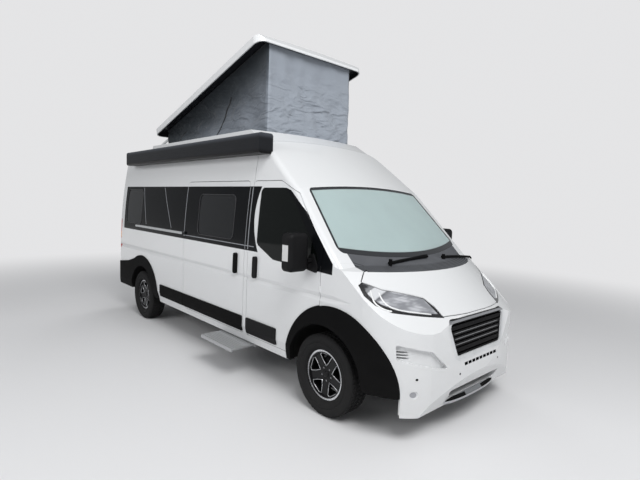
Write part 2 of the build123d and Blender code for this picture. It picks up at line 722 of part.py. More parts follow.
base_section = sheet([(-base_half, 2250), (base_half, 2250), (base_half, roof_edge_z + 10),
                      (base_top_half, base_top_z),
                      (-base_top_half, base_top_z), (-base_half, roof_edge_z + 10)])
roof_base = along_x(base_section, base_rear_x, nose_x) & slope("fairing", 0)
roof_base = roof_base - body_clear - hatch_cut
roof_base = roof_base - block(base_rear_x - 10, pop_rear_x - 34, -far, far, base_low_top_z, far)
roof_base = roof_base - block(base_rear_x - 10, nose_x, -far, far, 0, 2290)
roof_base = roof_base.solids().sort_by(SortBy.VOLUME)[-1]
for s in (1, -1):
    inner = s * (pop_arm_y - pop_arm_width / 2 - 2)
    lug_low = min(inner, inner - s * 16)
    lug = block(pop_pivot_x - pop_eye_radius, pop_pivot_x + pop_eye_radius, lug_low, lug_low + 16,
                base_low_top_z - 20, pop_pivot_z + pop_eye_radius)
    pin_low = min(inner, s * (pop_arm_y + pop_arm_width / 2))
    pin_high = max(inner, s * (pop_arm_y + pop_arm_width / 2))
    roof_base = roof_base + lug + rod_y(pop_pin_radius, pop_pivot_x, pop_pivot_z, pin_low, pin_high)

awning_face = rect(-awning_out, -awning_in, awning_low_z, awning_high_z, 28)
awning_case = along_x(awning_face, awning_rear_x, awning_front_x) - body_clear
awning_case = awning_case.solids().sort_by(SortBy.VOLUME)[-1]

# Pop roof


def pop_block(inset):
    """Shallow lid with a crowned top, rounded corners and leaning ends, shut."""
    low = pop_pivot_z - (1 if inset else 0)
    half = pop_half - inset
    top_z = pop_pivot_z + pop_crown - inset
    spread = 1.05
    wide = half * spread
    edge_z = top_z - (pop_crown - pop_rim) * spread**2
    edges = [*Polyline((-wide, edge_z), (-wide, low), (wide, low), (wide, edge_z)).edges(),
             ThreePointArc((wide, edge_z), (0, top_z), (-wide, edge_z))]
    body = along_x(make_face(edges), pop_rear_x - pop_wall, pop_front_x + pop_wall)
    plan = Pos((pop_rear_x + pop_front_x) / 2, 0) * RectangleRounded(
        pop_front_x - pop_rear_x - 2 * inset, 2 * half, pop_corner - inset)
    body = body & along_z(plan, low - 10, far)
    ends = []
    for z in (low - 10, top_z + 10):
        rise = (z - low - pop_lip) / (pop_crown - pop_lip)
        ends.append(((pop_rear_x + inset + rise * pop_tail_lean, z),
                     (pop_front_x - inset - rise * pop_nose_lean, z)))
    rake = sheet([ends[0][0], ends[0][1], ends[1][1], ends[1][0]])
    return body & along_y(rake, -far, far)


pop_roof = pop_block(0) - pop_block(pop_wall)
for s in (1, -1):
    low_y = s * pop_arm_y - pop_arm_width / 2
    arm = block(pop_pivot_x, pop_rear_x + pop_wall / 2, low_y, low_y + pop_arm_width, pop_pivot_z,
                pop_pivot_z + pop_arm_height)
    arm += rod_y(pop_eye_radius, pop_pivot_x, pop_pivot_z, low_y, low_y + pop_arm_width)
    arm -= rod_y(pop_pin_radius + running_gap, pop_pivot_x, pop_pivot_z, low_y - 1, low_y + pop_arm_width + 1)
    pop_roof = pop_roof + arm
pop_axis = Axis((pop_pivot_x, 0, pop_pivot_z), (0, 1, 0))
pop_roof = pop_roof.rotate(pop_axis, -pop_open_deg)

# Tent between the base and the raised roof


def tent_block(inset, spill):
    """Wedge under the raised roof, open at the top and the bottom."""
    foot_z = base_top_z + seat_gap - spill
    rise = tan(radians(pop_open_deg))

    def head_z(x):
        return pop_pivot_z + (x - pop_pivot_x) * rise + tent_tuck + spill

    points = [(tent_rear_x + inset, foot_z), (tent_foot_x - inset, foot_z),
              (tent_head_x - inset, head_z(tent_head_x)),
              (tent_rear_x + inset, head_z(tent_rear_x))]
    return along_y(sheet(points), -tent_half + inset, tent_half - inset)


tent = tent_block(0, 0) - tent_block(tent_wall, 50)

# Rear doors

rear_door_face = sheet([(-rear_door_half, rear_door_low_z), (-shut_gap / 2, rear_door_low_z),
                        (-shut_gap / 2, eaves_z - shut_gap), (-rear_door_top_half, eaves_z - shut_gap),
                        (-rear_door_half, 1500)])
rear_glass_face = sheet([(-780, 1380), (-90, 1380), (-90, 1960), (-745, 1960)], 60)
rear_door_right = (shell & along_x(rear_door_face, rear_x - 20, rear_x + wall + 10)) - along_x(
    rear_glass_face, rear_x - 20, rear_x + wall + 10)
rear_pane_right = pane_layer & along_x(offset(rear_glass_face, amount=-glass_gap), rear_x - 20, rear_x + wall)
rear_hinge_heights = (800, 1110, 1410)
rear_door_right, body_side_right = hang(rear_door_right, body_side_right, rear_hinge_x, -rear_hinge_y,
                                        rear_hinge_heights)
left_frame = hang(rear_door_right, other_side(body_side_left), rear_hinge_x, -rear_hinge_y,
                  rear_hinge_heights)[1]
body_side_left = other_side(left_frame)
bumper_rear_x = -2999
tow_eye_radius = 11
tow_eye_depth = 50
bumper_step = rect(-tail_cut_half, tail_cut_half, 402, rear_door_low_z - shut_gap - 3, 22)
rear_bumper = along_x(bumper_step, bumper_rear_x, rear_x + 70)
rear_bumper -= along_x(rect(-300, 300, 430, 545, 20), bumper_rear_x - 5, bumper_rear_x + 22)
rear_bumper -= along_x(Pos(-520, 480) * Circle(tow_eye_radius), bumper_rear_x - 1,
                       bumper_rear_x + tow_eye_depth)

# Underbody

floor_top_z = floor_low_z + floor_thick
floor = cabin_space & block(rear_x + 72, floor_front_x, -far, far, floor_low_z, floor_top_z)
well_half = rear_arch["liner_r"] + liner_wall + 4
for s in (1, -1):
    low_y, high_y = sorted((s * (rear_arch["inner_y"] - 4), s * far))
    floor -= block(rear_axle_x - well_half, rear_axle_x + well_half, low_y, high_y, 0, far)
floor += block(floor_front_x, firewall_x + firewall_thick, -tunnel_half, tunnel_half, floor_low_z,
               floor_top_z)
firewall = block(firewall_x, firewall_x + firewall_thick, -tunnel_half, tunnel_half, floor_low_z, 845)
firewall += block(firewall_x, firewall_x + firewall_thick, -far, far, 845, 1290) & cabin_space
floor += firewall
rail_front_x = 2820
cross_x_list = [-2700, -700, 900]
jack_pad_x = -1000
jack_pad_length = 100
jack_pad_width = 60
jack_pad_drop = 25
for s in (1, -1):
    rail_low_y = s * rail_y - rail_width / 2
    floor += block(rear_x + 120, rail_front_x, rail_low_y, rail_low_y + rail_width, rail_low_z,
                   floor_low_z + 1)
    floor += block(jack_pad_x - jack_pad_length / 2, jack_pad_x + jack_pad_length / 2,
                   s * rail_y - jack_pad_width / 2, s * rail_y + jack_pad_width / 2,
                   rail_low_z - jack_pad_drop, rail_low_z + 1)
    spring_low_y = s * spring_y - spring_width / 2
    for end in (-1, 1):
        hanger_x = rear_axle_x + end * (spring_reach - 40)
        floor += block(hanger_x - 40, hanger_x + 40, spring_low_y, spring_low_y + spring_width,
                       floor_low_z - 60, floor_low_z + 1)
    pedestal_y = s * 480
    floor += block(1010, 1420, pedestal_y - 200, pedestal_y + 200, floor_top_z - 1, 760)
for x in cross_x_list:
    floor += block(x - 40, x + 40, -900, 900, rail_low_z + 20, floor_low_z + 1)

engine = block(2300, 2720, -380, 380, 440, 930)
for s in (1, -1):
    engine -= block(2200, 2800, *sorted((s * (rail_y - rail_width / 2 - seat_gap), s * far)), 0,
                    floor_low_z + 1 + seat_gap)
engine += block(2290, 2560, -250, 250, 320, 445)


def spring_arc(lift):
    """Upward-curved edge of a leaf spring, seen from the side."""
    low = tyre_radius + axle_radius + seat_gap + lift
    return ThreePointArc((rear_axle_x - spring_reach, low + spring_rise), (rear_axle_x, low),
                         (rear_axle_x + spring_reach, low + spring_rise))


lower_arc = spring_arc(0)
upper_arc = spring_arc(spring_thick)
spring_face = make_face([lower_arc, upper_arc, Line(lower_arc @ 0, upper_arc @ 0),
                         Line(lower_arc @ 1, upper_arc @ 1)])
spring_right = along_y(spring_face, -spring_y - spring_width / 2, -spring_y + spring_width / 2)
leaf_springs = both_sides(spring_right)
floor -= both_sides(along_y(offset(spring_face, amount=seat_gap), -spring_y - spring_width,
                            -spring_y + spring_width))
floor = floor.solids().sort_by(SortBy.VOLUME)[-1]

stub_out = track_half + rim_face_out - rim_face_thick / 2 - stub_end_gap
axle_flange_y = track_half - rim_width
rear_axle = rod_y(axle_radius, rear_axle_x, tyre_radius, -axle_flange_y, axle_flange_y)
rear_axle += rod_y(stub_radius - running_gap, rear_axle_x, tyre_radius, -stub_out, stub_out)
for s in (1, -1):
    low_y, high_y = sorted((s * (axle_flange_y - 40), s * (axle_flange_y + 20)))
    rear_axle += rod_y(62, rear_axle_x, tyre_radius, low_y, high_y)

exhaust_y = -260
exhaust_z = 350
exhaust = Pos(0, exhaust_y, exhaust_z) * Rot(0, 90, 0) * Cylinder(28, 3000)
exhaust += block(-900, -300, exhaust_y - 110, exhaust_y + 110, exhaust_z - 75, exhaust_z + 75)
for x in (-1300, 500, 1300):
    exhaust += block(x - 12, x + 12, exhaust_y - 20, exhaust_y + 20, exhaust_z, floor_low_z - seat_gap)
fuel_tank = block(-500, 420, 60, 360, 290, floor_low_z - seat_gap)
fuel_tank = fillet(fuel_tank.edges().filter_by(Axis.Z), 40)

arm_z = tyre_radius - upright_half_z + 34
subframe = block(front_axle_x - 90, front_axle_x + 90, -rail_y - 40, rail_y + 40, arm_z + 40, arm_z + 110)
for s in (1, -1):
    post_low = s * rail_y - rail_width / 2
    subframe += block(front_axle_x - 60, front_axle_x + 60, post_low, post_low + rail_width, arm_z + 60,
                      rail_low_z - seat_gap)
    arm_low, arm_high = sorted((s * 300, s * (kingpin_half - 60)))
    subframe += block(front_axle_x - 40, front_axle_x + 40, arm_low, arm_high, arm_z, arm_z + 42)
    subframe -= rod_z(kingpin_radius + 18, front_axle_x, s * kingpin_half, arm_z - 50, arm_z + 60)
    subframe += rod_z(kingpin_radius + 16, front_axle_x, s * kingpin_half, arm_z, arm_z + 30)
    neck_low, neck_high = sorted((s * (kingpin_half - 70), s * (kingpin_half - kingpin_radius)))
    subframe += block(front_axle_x - 20, front_axle_x + 20, neck_low, neck_high, arm_z, arm_z + 30)
    subframe -= rod_z(kingpin_radius + running_gap, front_axle_x, s * kingpin_half, arm_z - 50, arm_z + 60)
upright_low_z = arm_z + 35
upright_high_z = tyre_radius + upright_half_z + 60
strut_low_z = upright_high_z + shut_gap
liner_top_z = tyre_radius + front_arch["liner_r"]
strut_top_z = liner_top_z - strut_radius**2 / front_arch["liner_r"] - seat_gap
struts = []
for s in (1, -1):
    strut = rod_z(strut_radius, front_axle_x, s * kingpin_half, strut_low_z, strut_top_z)
    struts.append(strut - rod_z(kingpin_radius + running_gap, front_axle_x, s * kingpin_half,
                                strut_low_z - 1, strut_low_z + 46))
front_suspension = Compound(children=[*subframe.solids(), *struts])

# Wheels


def steer_knuckle():
    """Right-hand upright with its kingpin and stub axle."""
    y = -kingpin_half
    body = block(front_axle_x - 42, front_axle_x + 42, y - 22, y + 22, upright_low_z, upright_high_z)
    body += rod_z(kingpin_radius, front_axle_x, y, arm_z, strut_low_z + 44)
    body += rod_y(62, front_axle_x, tyre_radius, y - 40, y)
    return body + rod_y(stub_radius - running_gap, front_axle_x, tyre_radius, -stub_out, y)


def wheel_rim():
    """Alloy wheel about the Y axis, outer face towards -Y: barrel, pocketed face, hub; and its brake disc."""
    half = rim_width / 2
    lip = bead_radius + 16
    inner = bead_radius - rim_barrel_wall
    barrel = sheet([(inner, -half), (lip, -half), (lip, -half + 10), (bead_radius, -half + 18),
                    (bead_radius, half - 18),
                    (lip, half - 10), (lip, half), (inner, half)])
    face_in = rim_face_out - rim_face_thick
    face = sheet([(0, face_in), (inner + 2, face_in + 14), (inner + 2, rim_face_out + 10),
                  (hub_radius, rim_face_out),
                  (0, rim_face_out)])
    hub = rect(0, hub_radius, -10, face_in + 10)
    profile = barrel + face + hub - rect(-1, stub_radius, -20, rim_face_out - rim_face_thick / 2)
    turned = revolve(Plane.XY * profile, Axis.Y)
    pocket = sheet([(0, hub_radius + 4), (34, hub_radius + 44), (66, inner - 26), (48, inner - 10),
                    (-48, inner - 10),
                    (-66, inner - 26), (-34, hub_radius + 44)], 8)
    for i in range(spoke_count):
        turned -= Rot(0, i * 360 / spoke_count, 0) * along_y(pocket, 0, half + 20)
    bolt_circle = 59
    for i in range(spoke_count):
        angle = 2 * pi * (i + 0.5) / spoke_count
        turned -= rod_y(11, bolt_circle * sin(angle), bolt_circle * cos(angle), rim_face_out - 16, half)
    disc_in = -half + 16
    disc = sheet([(48, disc_in), (disc_radius, disc_in), (disc_radius, disc_in + disc_thick),
                  (70, disc_in + disc_thick),
                  (70, -10 - seat_gap), (48, -10 - seat_gap)])
    return Compound(children=[*turned.solids(), *revolve(Plane.XY * disc, Axis.Y).solids()])


def wheel_tyre():
    """Tyre about the Y axis: beads on the rim, bulged sides, square shoulders."""
    half = tyre_width / 2
    bead = bead_radius + seat_gap
    points = [(bead, -58), (bead + 16, -58 - 30), (bead + 62, -half), (tyre_radius - 60, -half + 2),
              (tyre_radius - 14, -half + 12),
              (tyre_radius, -half + 30), (tyre_radius, half - 30), (tyre_radius - 14, half - 12),
              (tyre_radius - 60, half - 2),
              (bead + 62, half), (bead + 16, 58 + 30), (bead, 58)]
    outer = sheet(points)
    lip_clear = rect(0, bead_radius + 16 + seat_gap, -far, -rim_width / 2 + 18 + 2)
    lip_clear += rect(0, bead_radius + 16 + seat_gap, rim_width / 2 - 18 - 2, far)
    return revolve(Plane.XY * (outer - lip_clear), Axis.Y)


rim_left = wheel_rim()
rim_right = mirror(rim_left, about=Plane.XZ)
tyre = wheel_tyre()
wheels = {}
# Wheel name: axle x, side (+1 left)
wheel_table = {"front_left": (front_axle_x, 1), "front_right": (front_axle_x, -1),
               "rear_left": (rear_axle_x, 1), "rear_right": (rear_axle_x, -1)}
for name, (x, side) in wheel_table.items():
    place = Pos(x, side * track_half, tyre_radius)
    wheels["rim_" + name] = place * (rim_left if side > 0 else rim_right)
    wheels["tyre_" + name] = place * tyre
knuckle_right = steer_knuckle()

# Step under the sliding door

step_side_gap = 6
step_wall = 9
step_tread = block(step_rear_x, step_front_x, -step_out, -step_out + 2 * step_travel + 20, step_z,
                   step_z + step_thick)
step_nose = rect(step_rear_x, step_front_x, step_z - 16, step_z + step_thick, 7)
step_tread += along_y(step_nose, -step_out - 18, -step_out)
frame_low_z = step_z - seat_gap - step_wall
frame_high_z = step_z + step_thick + shut_gap
step_frame = block(step_rear_x - step_side_gap - step_wall, step_front_x + step_side_gap + step_wall,
                   -step_out + step_travel + 15, -step_out + 2 * step_travel + 60, frame_low_z,
                   frame_high_z + step_wall)
step_frame -= block(step_rear_x - step_side_gap, step_front_x + step_side_gap, -far, far, step_z - seat_gap,
                    frame_high_z)
for x in (step_rear_x + 60, step_front_x - 140):
    step_frame += block(x - 20, x + 20, -900, -760, frame_high_z + 1, floor_low_z - seat_gap)

# Cabin: dashboard, seats, furniture, steering wheel

dashboard = envelope(wall + 25, open_bottom_z) & block(1790, firewall_x - seat_gap, -850, 850, 960, 1300)
dashboard -= block(1700, 2010, -far, far, 900, 1100)
dashboard -= block(1700, 1850, -far, 160, 900, 1215)
dashboard = dashboard.solids().sort_by(SortBy.VOLUME)[-1]


def cab_seat(y):
    """Seat with a cushion, a raked back and a head rest."""
    cushion = block(1000, 1500, y - 230, y + 230, 760 + seat_gap, 905)
    back = sheet([(960, 850), (1075, 850), (1010, 1470), (900, 1470)], 30)
    body = cushion + along_y(back, y - 220, y + 220)
    head = sheet([(890, 1440), (985, 1440), (965, 1690), (870, 1690)], 30)
    return body + along_y(head, y - 130, y + 130)


front_seats = Compound(children=[*cab_seat(480).solids(), *cab_seat(-480).solids()])
on_floor = floor_top_z + seat_gap
kitchen = block(-1180, -640, -890, -440, on_floor, 1400)
bench = block(60, 560, 420, 890, on_floor, 960) + block(20, 120, 420, 890, on_floor, 1480)
bed = block(-2880, -1230, -880, 880, 960, 1070) + block(-1290, -1230, -700, 700, on_floor, 965)
for s in (1, -1):
    bed += block(-2850, -2790, *sorted((s * 640, s * 700)), on_floor, 965)
furniture = Compound(children=[*kitchen.solids(), *bench.solids(), *bed.solids()])

wheel_centre = (1660, 440, 1262)
wheel_tilt = 58
steering_wheel = Torus(188, 15) + Cylinder(52, 30)
for spoke_angle in (0, 180, 270):
    spoke = Rot(0, 0, spoke_angle) * (Pos(110, 0, 0) * Box(150, 34, 16))
    steering_wheel += spoke
column_length = 330
steering_wheel += Pos(0, 0, -column_length / 2) * Cylinder(24, column_length)
steering_wheel = Pos(*wheel_centre) * Rot(0, -wheel_tilt, 0) * steering_wheel
steering_wheel = (steering_wheel - dashboard).solids().sort_by(SortBy.VOLUME)[-1]

# Wipers on the scuttle
wiper_table = [(-520, 640), (330, 640)]  # pivot y, blade length
wiper_parts = []
for pivot_y, blade in wiper_table:
    layer = envelope(-26, open_bottom_z) - envelope(-8, open_bottom_z)
    path = sheet([(2330, pivot_y), (2352, pivot_y), (2318, pivot_y + blade), (2300, pivot_y + blade)])
    wiper = layer & along_z(path, 1250, 1500)
    pivot = rod_z(16, 2350, pivot_y + 10, 1250, 1390) - body_clear
    wiper_parts += [*(wiper + pivot).solids()]
wipers = Compound(children=wiper_parts)

nodes = {
    "floor": floor, "engine": engine, "body_side_right": body_side_right, "body_side_left": body_side_left,
    "front_wings": front_wings, "cab_frame": cab_frame, "roof_panel": roof_panel, "roof_base": roof_base,
    "scuttle": scuttle, "windscreen": windscreen, "fixed_panes": fixed_panes, "sliding_door": slide_door,
    "front_bumper": bumper, "grille": grille, "grille_surround": grille_surround, "front_lamps": front_lamps,
    "side_claddings": side_claddings, "rear_bumper": rear_bumper, "tail_lamps": both_sides(tail_lamp),
    "wipers": wipers, "awning_case": awning_case, "dashboard": dashboard, "front_seats": front_seats,
    "furniture": furniture, "steering_wheel": steering_wheel, "exhaust": exhaust, "fuel_tank": fuel_tank,
    "front_suspension": front_suspension, "rear_axle": rear_axle, "leaf_springs": leaf_springs,
    "wheel_liners": wheel_liners, "step_frame": step_frame, "tent": tent,
    "bonnet": bonnet, "pop_roof": pop_roof, "step_tread": step_tread,
    "cab_door_right": door_right, "cab_door_left": other_side(door_right),
    "cab_pane_right": pane_right, "cab_pane_left": other_side(pane_right),
    "cab_trim_right": trim_parts, "cab_trim_left": other_side(trim_parts),
    "rear_door_right": rear_door_right, "rear_door_left": other_side(rear_door_right),
    "rear_pane_right": rear_pane_right, "rear_pane_left": other_side(rear_pane_right),
    "knuckle_right": knuckle_right, "knuckle_left": other_side(knuckle_right), **wheels,
}

os.makedirs("parts", exist_ok=True)
for name, shape in nodes.items():
    export_step(shape, f"parts/{name}.step")
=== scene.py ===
import math
import bmesh
import bpy
from mathutils import Matrix, Vector, noise


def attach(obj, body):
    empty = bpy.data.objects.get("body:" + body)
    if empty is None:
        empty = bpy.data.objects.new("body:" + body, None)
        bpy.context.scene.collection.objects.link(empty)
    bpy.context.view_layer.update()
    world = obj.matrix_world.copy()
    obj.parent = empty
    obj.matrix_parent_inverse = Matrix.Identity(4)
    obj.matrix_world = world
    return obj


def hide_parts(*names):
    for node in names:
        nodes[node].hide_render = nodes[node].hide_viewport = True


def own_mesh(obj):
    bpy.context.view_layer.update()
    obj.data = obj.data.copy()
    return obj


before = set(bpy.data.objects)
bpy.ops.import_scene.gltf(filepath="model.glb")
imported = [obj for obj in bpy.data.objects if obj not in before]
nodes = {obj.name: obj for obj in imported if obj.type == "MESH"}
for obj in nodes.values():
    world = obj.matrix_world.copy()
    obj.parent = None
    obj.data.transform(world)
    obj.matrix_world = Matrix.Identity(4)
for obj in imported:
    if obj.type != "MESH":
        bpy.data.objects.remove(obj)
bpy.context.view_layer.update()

scene = bpy.context.scene
scene.view_settings.view_transform = "Standard"
print("stage: frame loaded,", len(nodes), "nodes")

# Camera and light
shotCamera = dict(place=(4.7706, -3.6086, 1.8702), yaw=2.39396651, pitch=-0.0854763, roll=0.0349165,
                  focalPx=444.6, widthPx=640, sensor=36, reach=200)
# Each softbox: name, place, target, size and power
studio = dict(floorTone=(0.74, 0.74, 0.75), floorRough=0.7, floorHalf=40, fadeFrom=4.5, fadeTo=11.0,
              backTone=(0.78, 0.78, 0.79), skyTone=(0.96, 0.98, 1.0), ambient=0.34,
              softboxes=(("keySoftbox", (6.6, -2.4, 8.0), (0.8, 0, 1.4), (5, 4), 620),
                         ("sideSoftbox", (0.5, -8.0, 5.0), (-0.2, -0.8, 1.2), (6, 3), 190),
                         ("rimSoftbox", (-5.5, 4.5, 6.5), (-1, 0.4, 1.8), (4, 3), 120)))
roofHinge = dict(x=-2.498, z=2.640, turn=math.radians(16.2))


def placeCamera(c):
    cy, sy, cp, sp = math.cos(c["yaw"]), math.sin(c["yaw"]), math.cos(c["pitch"]), math.sin(c["pitch"])
    ahead = Vector((cy * cp, sy * cp, sp))
    right = Vector((sy, -cy, 0))
    up = right.cross(ahead)
    cr, sr = math.cos(c["roll"]), math.sin(c["roll"])
    right, up = cr * right + sr * up, -sr * right + cr * up
    data = bpy.data.cameras.new("shotCamera")
    data.sensor_fit = "HORIZONTAL"
    data.sensor_width = c["sensor"]
    data.lens = c["focalPx"] / c["widthPx"] * c["sensor"]
    data.clip_end = c["reach"]
    cam = bpy.data.objects.new("shotCamera", data)
    cam.matrix_world = Matrix.Translation(c["place"]) @ Matrix((right, up, -ahead)).transposed().to_4x4()
    scene.collection.objects.link(cam)
    scene.camera = cam


def addSoftbox(name, place, target, size, power):
    data = bpy.data.lights.new(name, "AREA")
    data.shape = "RECTANGLE"
    data.size, data.size_y = size
    data.energy = power
    lamp = bpy.data.objects.new(name, data)
    lamp.location = place
    lamp.rotation_euler = (Vector(target) - Vector(place)).to_track_quat("-Z", "Y").to_euler()
    scene.collection.objects.link(lamp)


# Node helpers: a wire is one output of a node, and sums of wires make math nodes
class Wire:
    def __init__(self, socket):
        self.socket = socket
        self.tree = socket.id_data

    def __add__(self, other):
        return mathNode("ADD", self, other)

    def __sub__(self, other):
        return mathNode("SUBTRACT", self, other)

    def __rsub__(self, other):
        return mathNode("SUBTRACT", other, self)

    def __mul__(self, other):
        return mathNode("MULTIPLY", self, other)

    def __truediv__(self, other):
        return mathNode("DIVIDE", self, other)

    def __abs__(self):
        return mathNode("ABSOLUTE", self)


def setSlot(slot, value):
    if isinstance(value, bpy.types.Node):
        value = Wire(value.outputs[0])
    if isinstance(value, Wire):
        value.tree.links.new(value.socket, slot)
    else:
        slot.default_value = value


def setInputs(node, **values):
    for label, value in values.items():
        setSlot(node.inputs[label.replace("_", " ")], value)
    return node


def newNode(tree, kind, **values):
    return setInputs(tree.nodes.new(kind), **values)


def mathNode(operation, *values):
    tree = next(value.tree for value in values if isinstance(value, Wire))
    node = tree.nodes.new("ShaderNodeMath")
    node.operation = operation
    for slot, value in zip(node.inputs, values):
        setSlot(slot, value)
    return Wire(node.outputs[0])


def scaleAdd(value, scale, start):
    return mathNode("MULTIPLY_ADD", value, scale, start)


def straight(value, at, level, slope):
    return scaleAdd(value, slope, level - slope * at)


def largest(*values):
    result = values[0]
    for value in values[1:]:
        result = mathNode("MAXIMUM", result, value)
    return result


def hypotenuse(a, b):
    return mathNode("SQRT", a * a + b * b)


def objectAxes(tree):
    vector = Wire(tree.nodes.new("ShaderNodeTexCoord").outputs["Object"])
    split = newNode(tree, "ShaderNodeSeparateXYZ", Vector=vector)
    x, y, z = map(Wire, split.outputs)
    return vector, x, y, z


def stretched(vector, scale):
    return Wire(newNode(vector.tree, "ShaderNodeMapping", Scale=scale, Vector=vector).outputs[0])


def noiseNode(vector, scale, detail=3.0, rough=0.5, warp=0.0):
    node = newNode(vector.tree, "ShaderNodeTexNoise", Scale=scale, Detail=detail, Roughness=rough,
                   Distortion=warp, Vector=vector)
    return Wire(node.outputs["Fac"])


def ramp(value, low, high, smooth=True):
    node = newNode(value.tree, "ShaderNodeMapRange", From_Min=low, From_Max=high, Value=value)
    node.interpolation_type = "SMOOTHSTEP" if smooth else "LINEAR"
    return Wire(node.outputs["Result"])


# A soft edge: rising past the place, or falling where soft is negative
def edgeAt(value, at, soft):
    return ramp(value, at - soft, at + soft)


def between(value, low, high, soft=0.002):
    return edgeAt(value, low, soft) * edgeAt(value, high, -soft)


def mixColor(mask, a, b):
    node = mask.tree.nodes.new("ShaderNodeMix")
    node.data_type = "RGBA"
    for slot, value in ((0, mask), (6, a), (7, b)):
        setSlot(node.inputs[slot], (*value, 1) if isinstance(value, tuple) else value)
    return Wire(node.outputs[2])


def mixShader(mask, a, b):
    node = mask.tree.nodes.new("ShaderNodeMixShader")
    for slot, value in zip(node.inputs, (mask, a, b)):
        setSlot(slot, value)
    return node


def newMaterial(name, **constants):
    mat = bpy.data.materials.new(name)
    mat.use_nodes = True
    shader = mat.node_tree.nodes["Principled BSDF"]
    return mat, mat.node_tree, setInputs(shader, **constants)


def buildStudio(s):
    world = bpy.data.worlds.new("studioWorld")
    scene.world = world
    world.use_nodes = True
    tree = world.node_tree
    tree.nodes.clear()
    seen = newNode(tree, "ShaderNodeBackground", Color=(*s["backTone"], 1))
    lit = newNode(tree, "ShaderNodeBackground", Color=(*s["skyTone"], 1), Strength=s["ambient"])
    path = tree.nodes.new("ShaderNodeLightPath")
    either = largest(Wire(path.outputs["Is Camera Ray"]), Wire(path.outputs["Is Transmission Ray"]))
    newNode(tree, "ShaderNodeOutputWorld", Surface=mixShader(either, lit, seen))
    half = s["floorHalf"]
    mesh = bpy.data.meshes.new("studioFloor")
    corners = [(-half, -half, 0), (half, -half, 0), (half, half, 0), (-half, half, 0)]
    mesh.from_pydata(corners, [], [(0, 1, 2, 3)])
    floor = bpy.data.objects.new("studioFloor", mesh)
    scene.collection.objects.link(floor)
    mat, tree, shader = newMaterial("paleFloor", Base_Color=(*s["floorTone"], 1), Roughness=s["floorRough"])
    glow = newNode(tree, "ShaderNodeEmission", Color=(*s["backTone"], 1))
    vector, x, y, z = objectAxes(tree)
    fade = mixShader(ramp(hypotenuse(x, y), s["fadeFrom"], s["fadeTo"]), shader, glow)
    setInputs(tree.nodes["Material Output"], Surface=fade)
    mesh.materials.append(mat)
    for box in s["softboxes"]:
        addSoftbox(*box)


placeCamera(shotCamera)
buildStudio(studio)
print("stage: camera and studio")


# Shared shader groups: masks, tones and heights only
def newGroup(name, inputs, outputs):
    tree = bpy.data.node_groups.new(name, "ShaderNodeTree")
    for label, value in inputs.items():
        tree.interface.new_socket(label, in_out="INPUT", socket_type="NodeSocketFloat").default_value = value
    for label in outputs:
        tree.interface.new_socket(label, in_out="OUTPUT", socket_type="NodeSocketFloat")
    start, end = tree.nodes.new("NodeGroupInput"), tree.nodes.new("NodeGroupOutput")
    return tree, {label: Wire(start.outputs[label]) for label in inputs}, end


def buildRoadFilm():
    tree, given, end = newGroup("roadFilm", dict(Amount=0.4, Height=0.7), ["Mask"])
    vector, x, y, z = objectAxes(tree)
    low = largest(1.0 - z / given["Height"], 0.0)
    mask = low * noiseNode(vector, 9.0, 6.0, 0.65) * given["Amount"]
    setInputs(end, Mask=mathNode("MINIMUM", mask, 1.0))
    return tree


def buildMouldGrain():
    tree, given, end = newGroup("mouldGrain", dict(Scale=500.0), ["Height", "Tone"])
    vector, x, y, z = objectAxes(tree)
    cells = newNode(tree, "ShaderNodeTexVoronoi", Vector=vector, Scale=given["Scale"])
    setInputs(end, Height=Wire(cells.outputs["Distance"]), Tone=noiseNode(vector, 6.0, 4.0))
    return tree


def buildClothWeave():
    tree, given, end = newGroup("clothWeave", dict(Pitch=900.0), ["Height", "Tone"])
    vector, x, y, z = objectAxes(tree)
    warp = mathNode("SINE", (x + y) * given["Pitch"])
    weft = mathNode("SINE", z * given["Pitch"])
    setInputs(end, Height=warp * weft, Tone=noiseNode(vector, 3.0, 5.0, 0.6))
    return tree


# Crumpled cloth: stretch, noise size and weight of each layer, half width of a ridge
crumple = dict(layers=(((0.8, 0.8, 2.0), 2.2, 1.0), ((0.9, 0.9, 2.4), 4.2, 0.5),
                       ((1.0, 1.0, 1.8), 9.0, 0.14)),
               ridge=0.16)


def buildClothCrumple():
    tree, given, end = newGroup("clothCrumple", dict(Amount=1.0), ["Height"])
    vector, x, y, z = objectAxes(tree)
    ridges = []
    for scale, size, weight in crumple["layers"]:
        wave = noiseNode(stretched(vector, scale), size, 1.5, 0.4, 0.9)
        ridges.append(ramp(abs(wave - 0.5), crumple["ridge"], 0.0) * weight)
    setInputs(end, Height=sum(ridges[1:], ridges[0]) * given["Amount"])
    return tree


roadFilm = buildRoadFilm()
mouldGrain = buildMouldGrain()
clothWeave = buildClothWeave()
clothCrumple = buildClothCrumple()


def useGroup(tree, group, **values):
    node = tree.nodes.new("ShaderNodeGroup")
    node.node_tree = group
    setInputs(node, **values)
    return {socket.name: Wire(socket) for socket in node.outputs}


def addBump(shader, height, strength, distance, under=None):
    bump = newNode(height.tree, "ShaderNodeBump", Strength=strength, Distance=distance, Height=height)
    if under:
        setInputs(bump, Normal=under)
    setInputs(shader, Normal=bump)
    return bump


# Paint: where a dark film lies on it, the coat and the shine fall
paint = dict(white=(0.70, 0.71, 0.72), dust=(0.42, 0.40, 0.37), film=(0.0045, 0.005, 0.006),
             line=(0.30, 0.31, 0.33), silver=(0.44, 0.45, 0.46), black=(0.006, 0.006, 0.007),
             coat=0.7, coatFall=-0.62, shine=0.5, shineFall=-0.44, rough=0.22, roughSpread=0.06)


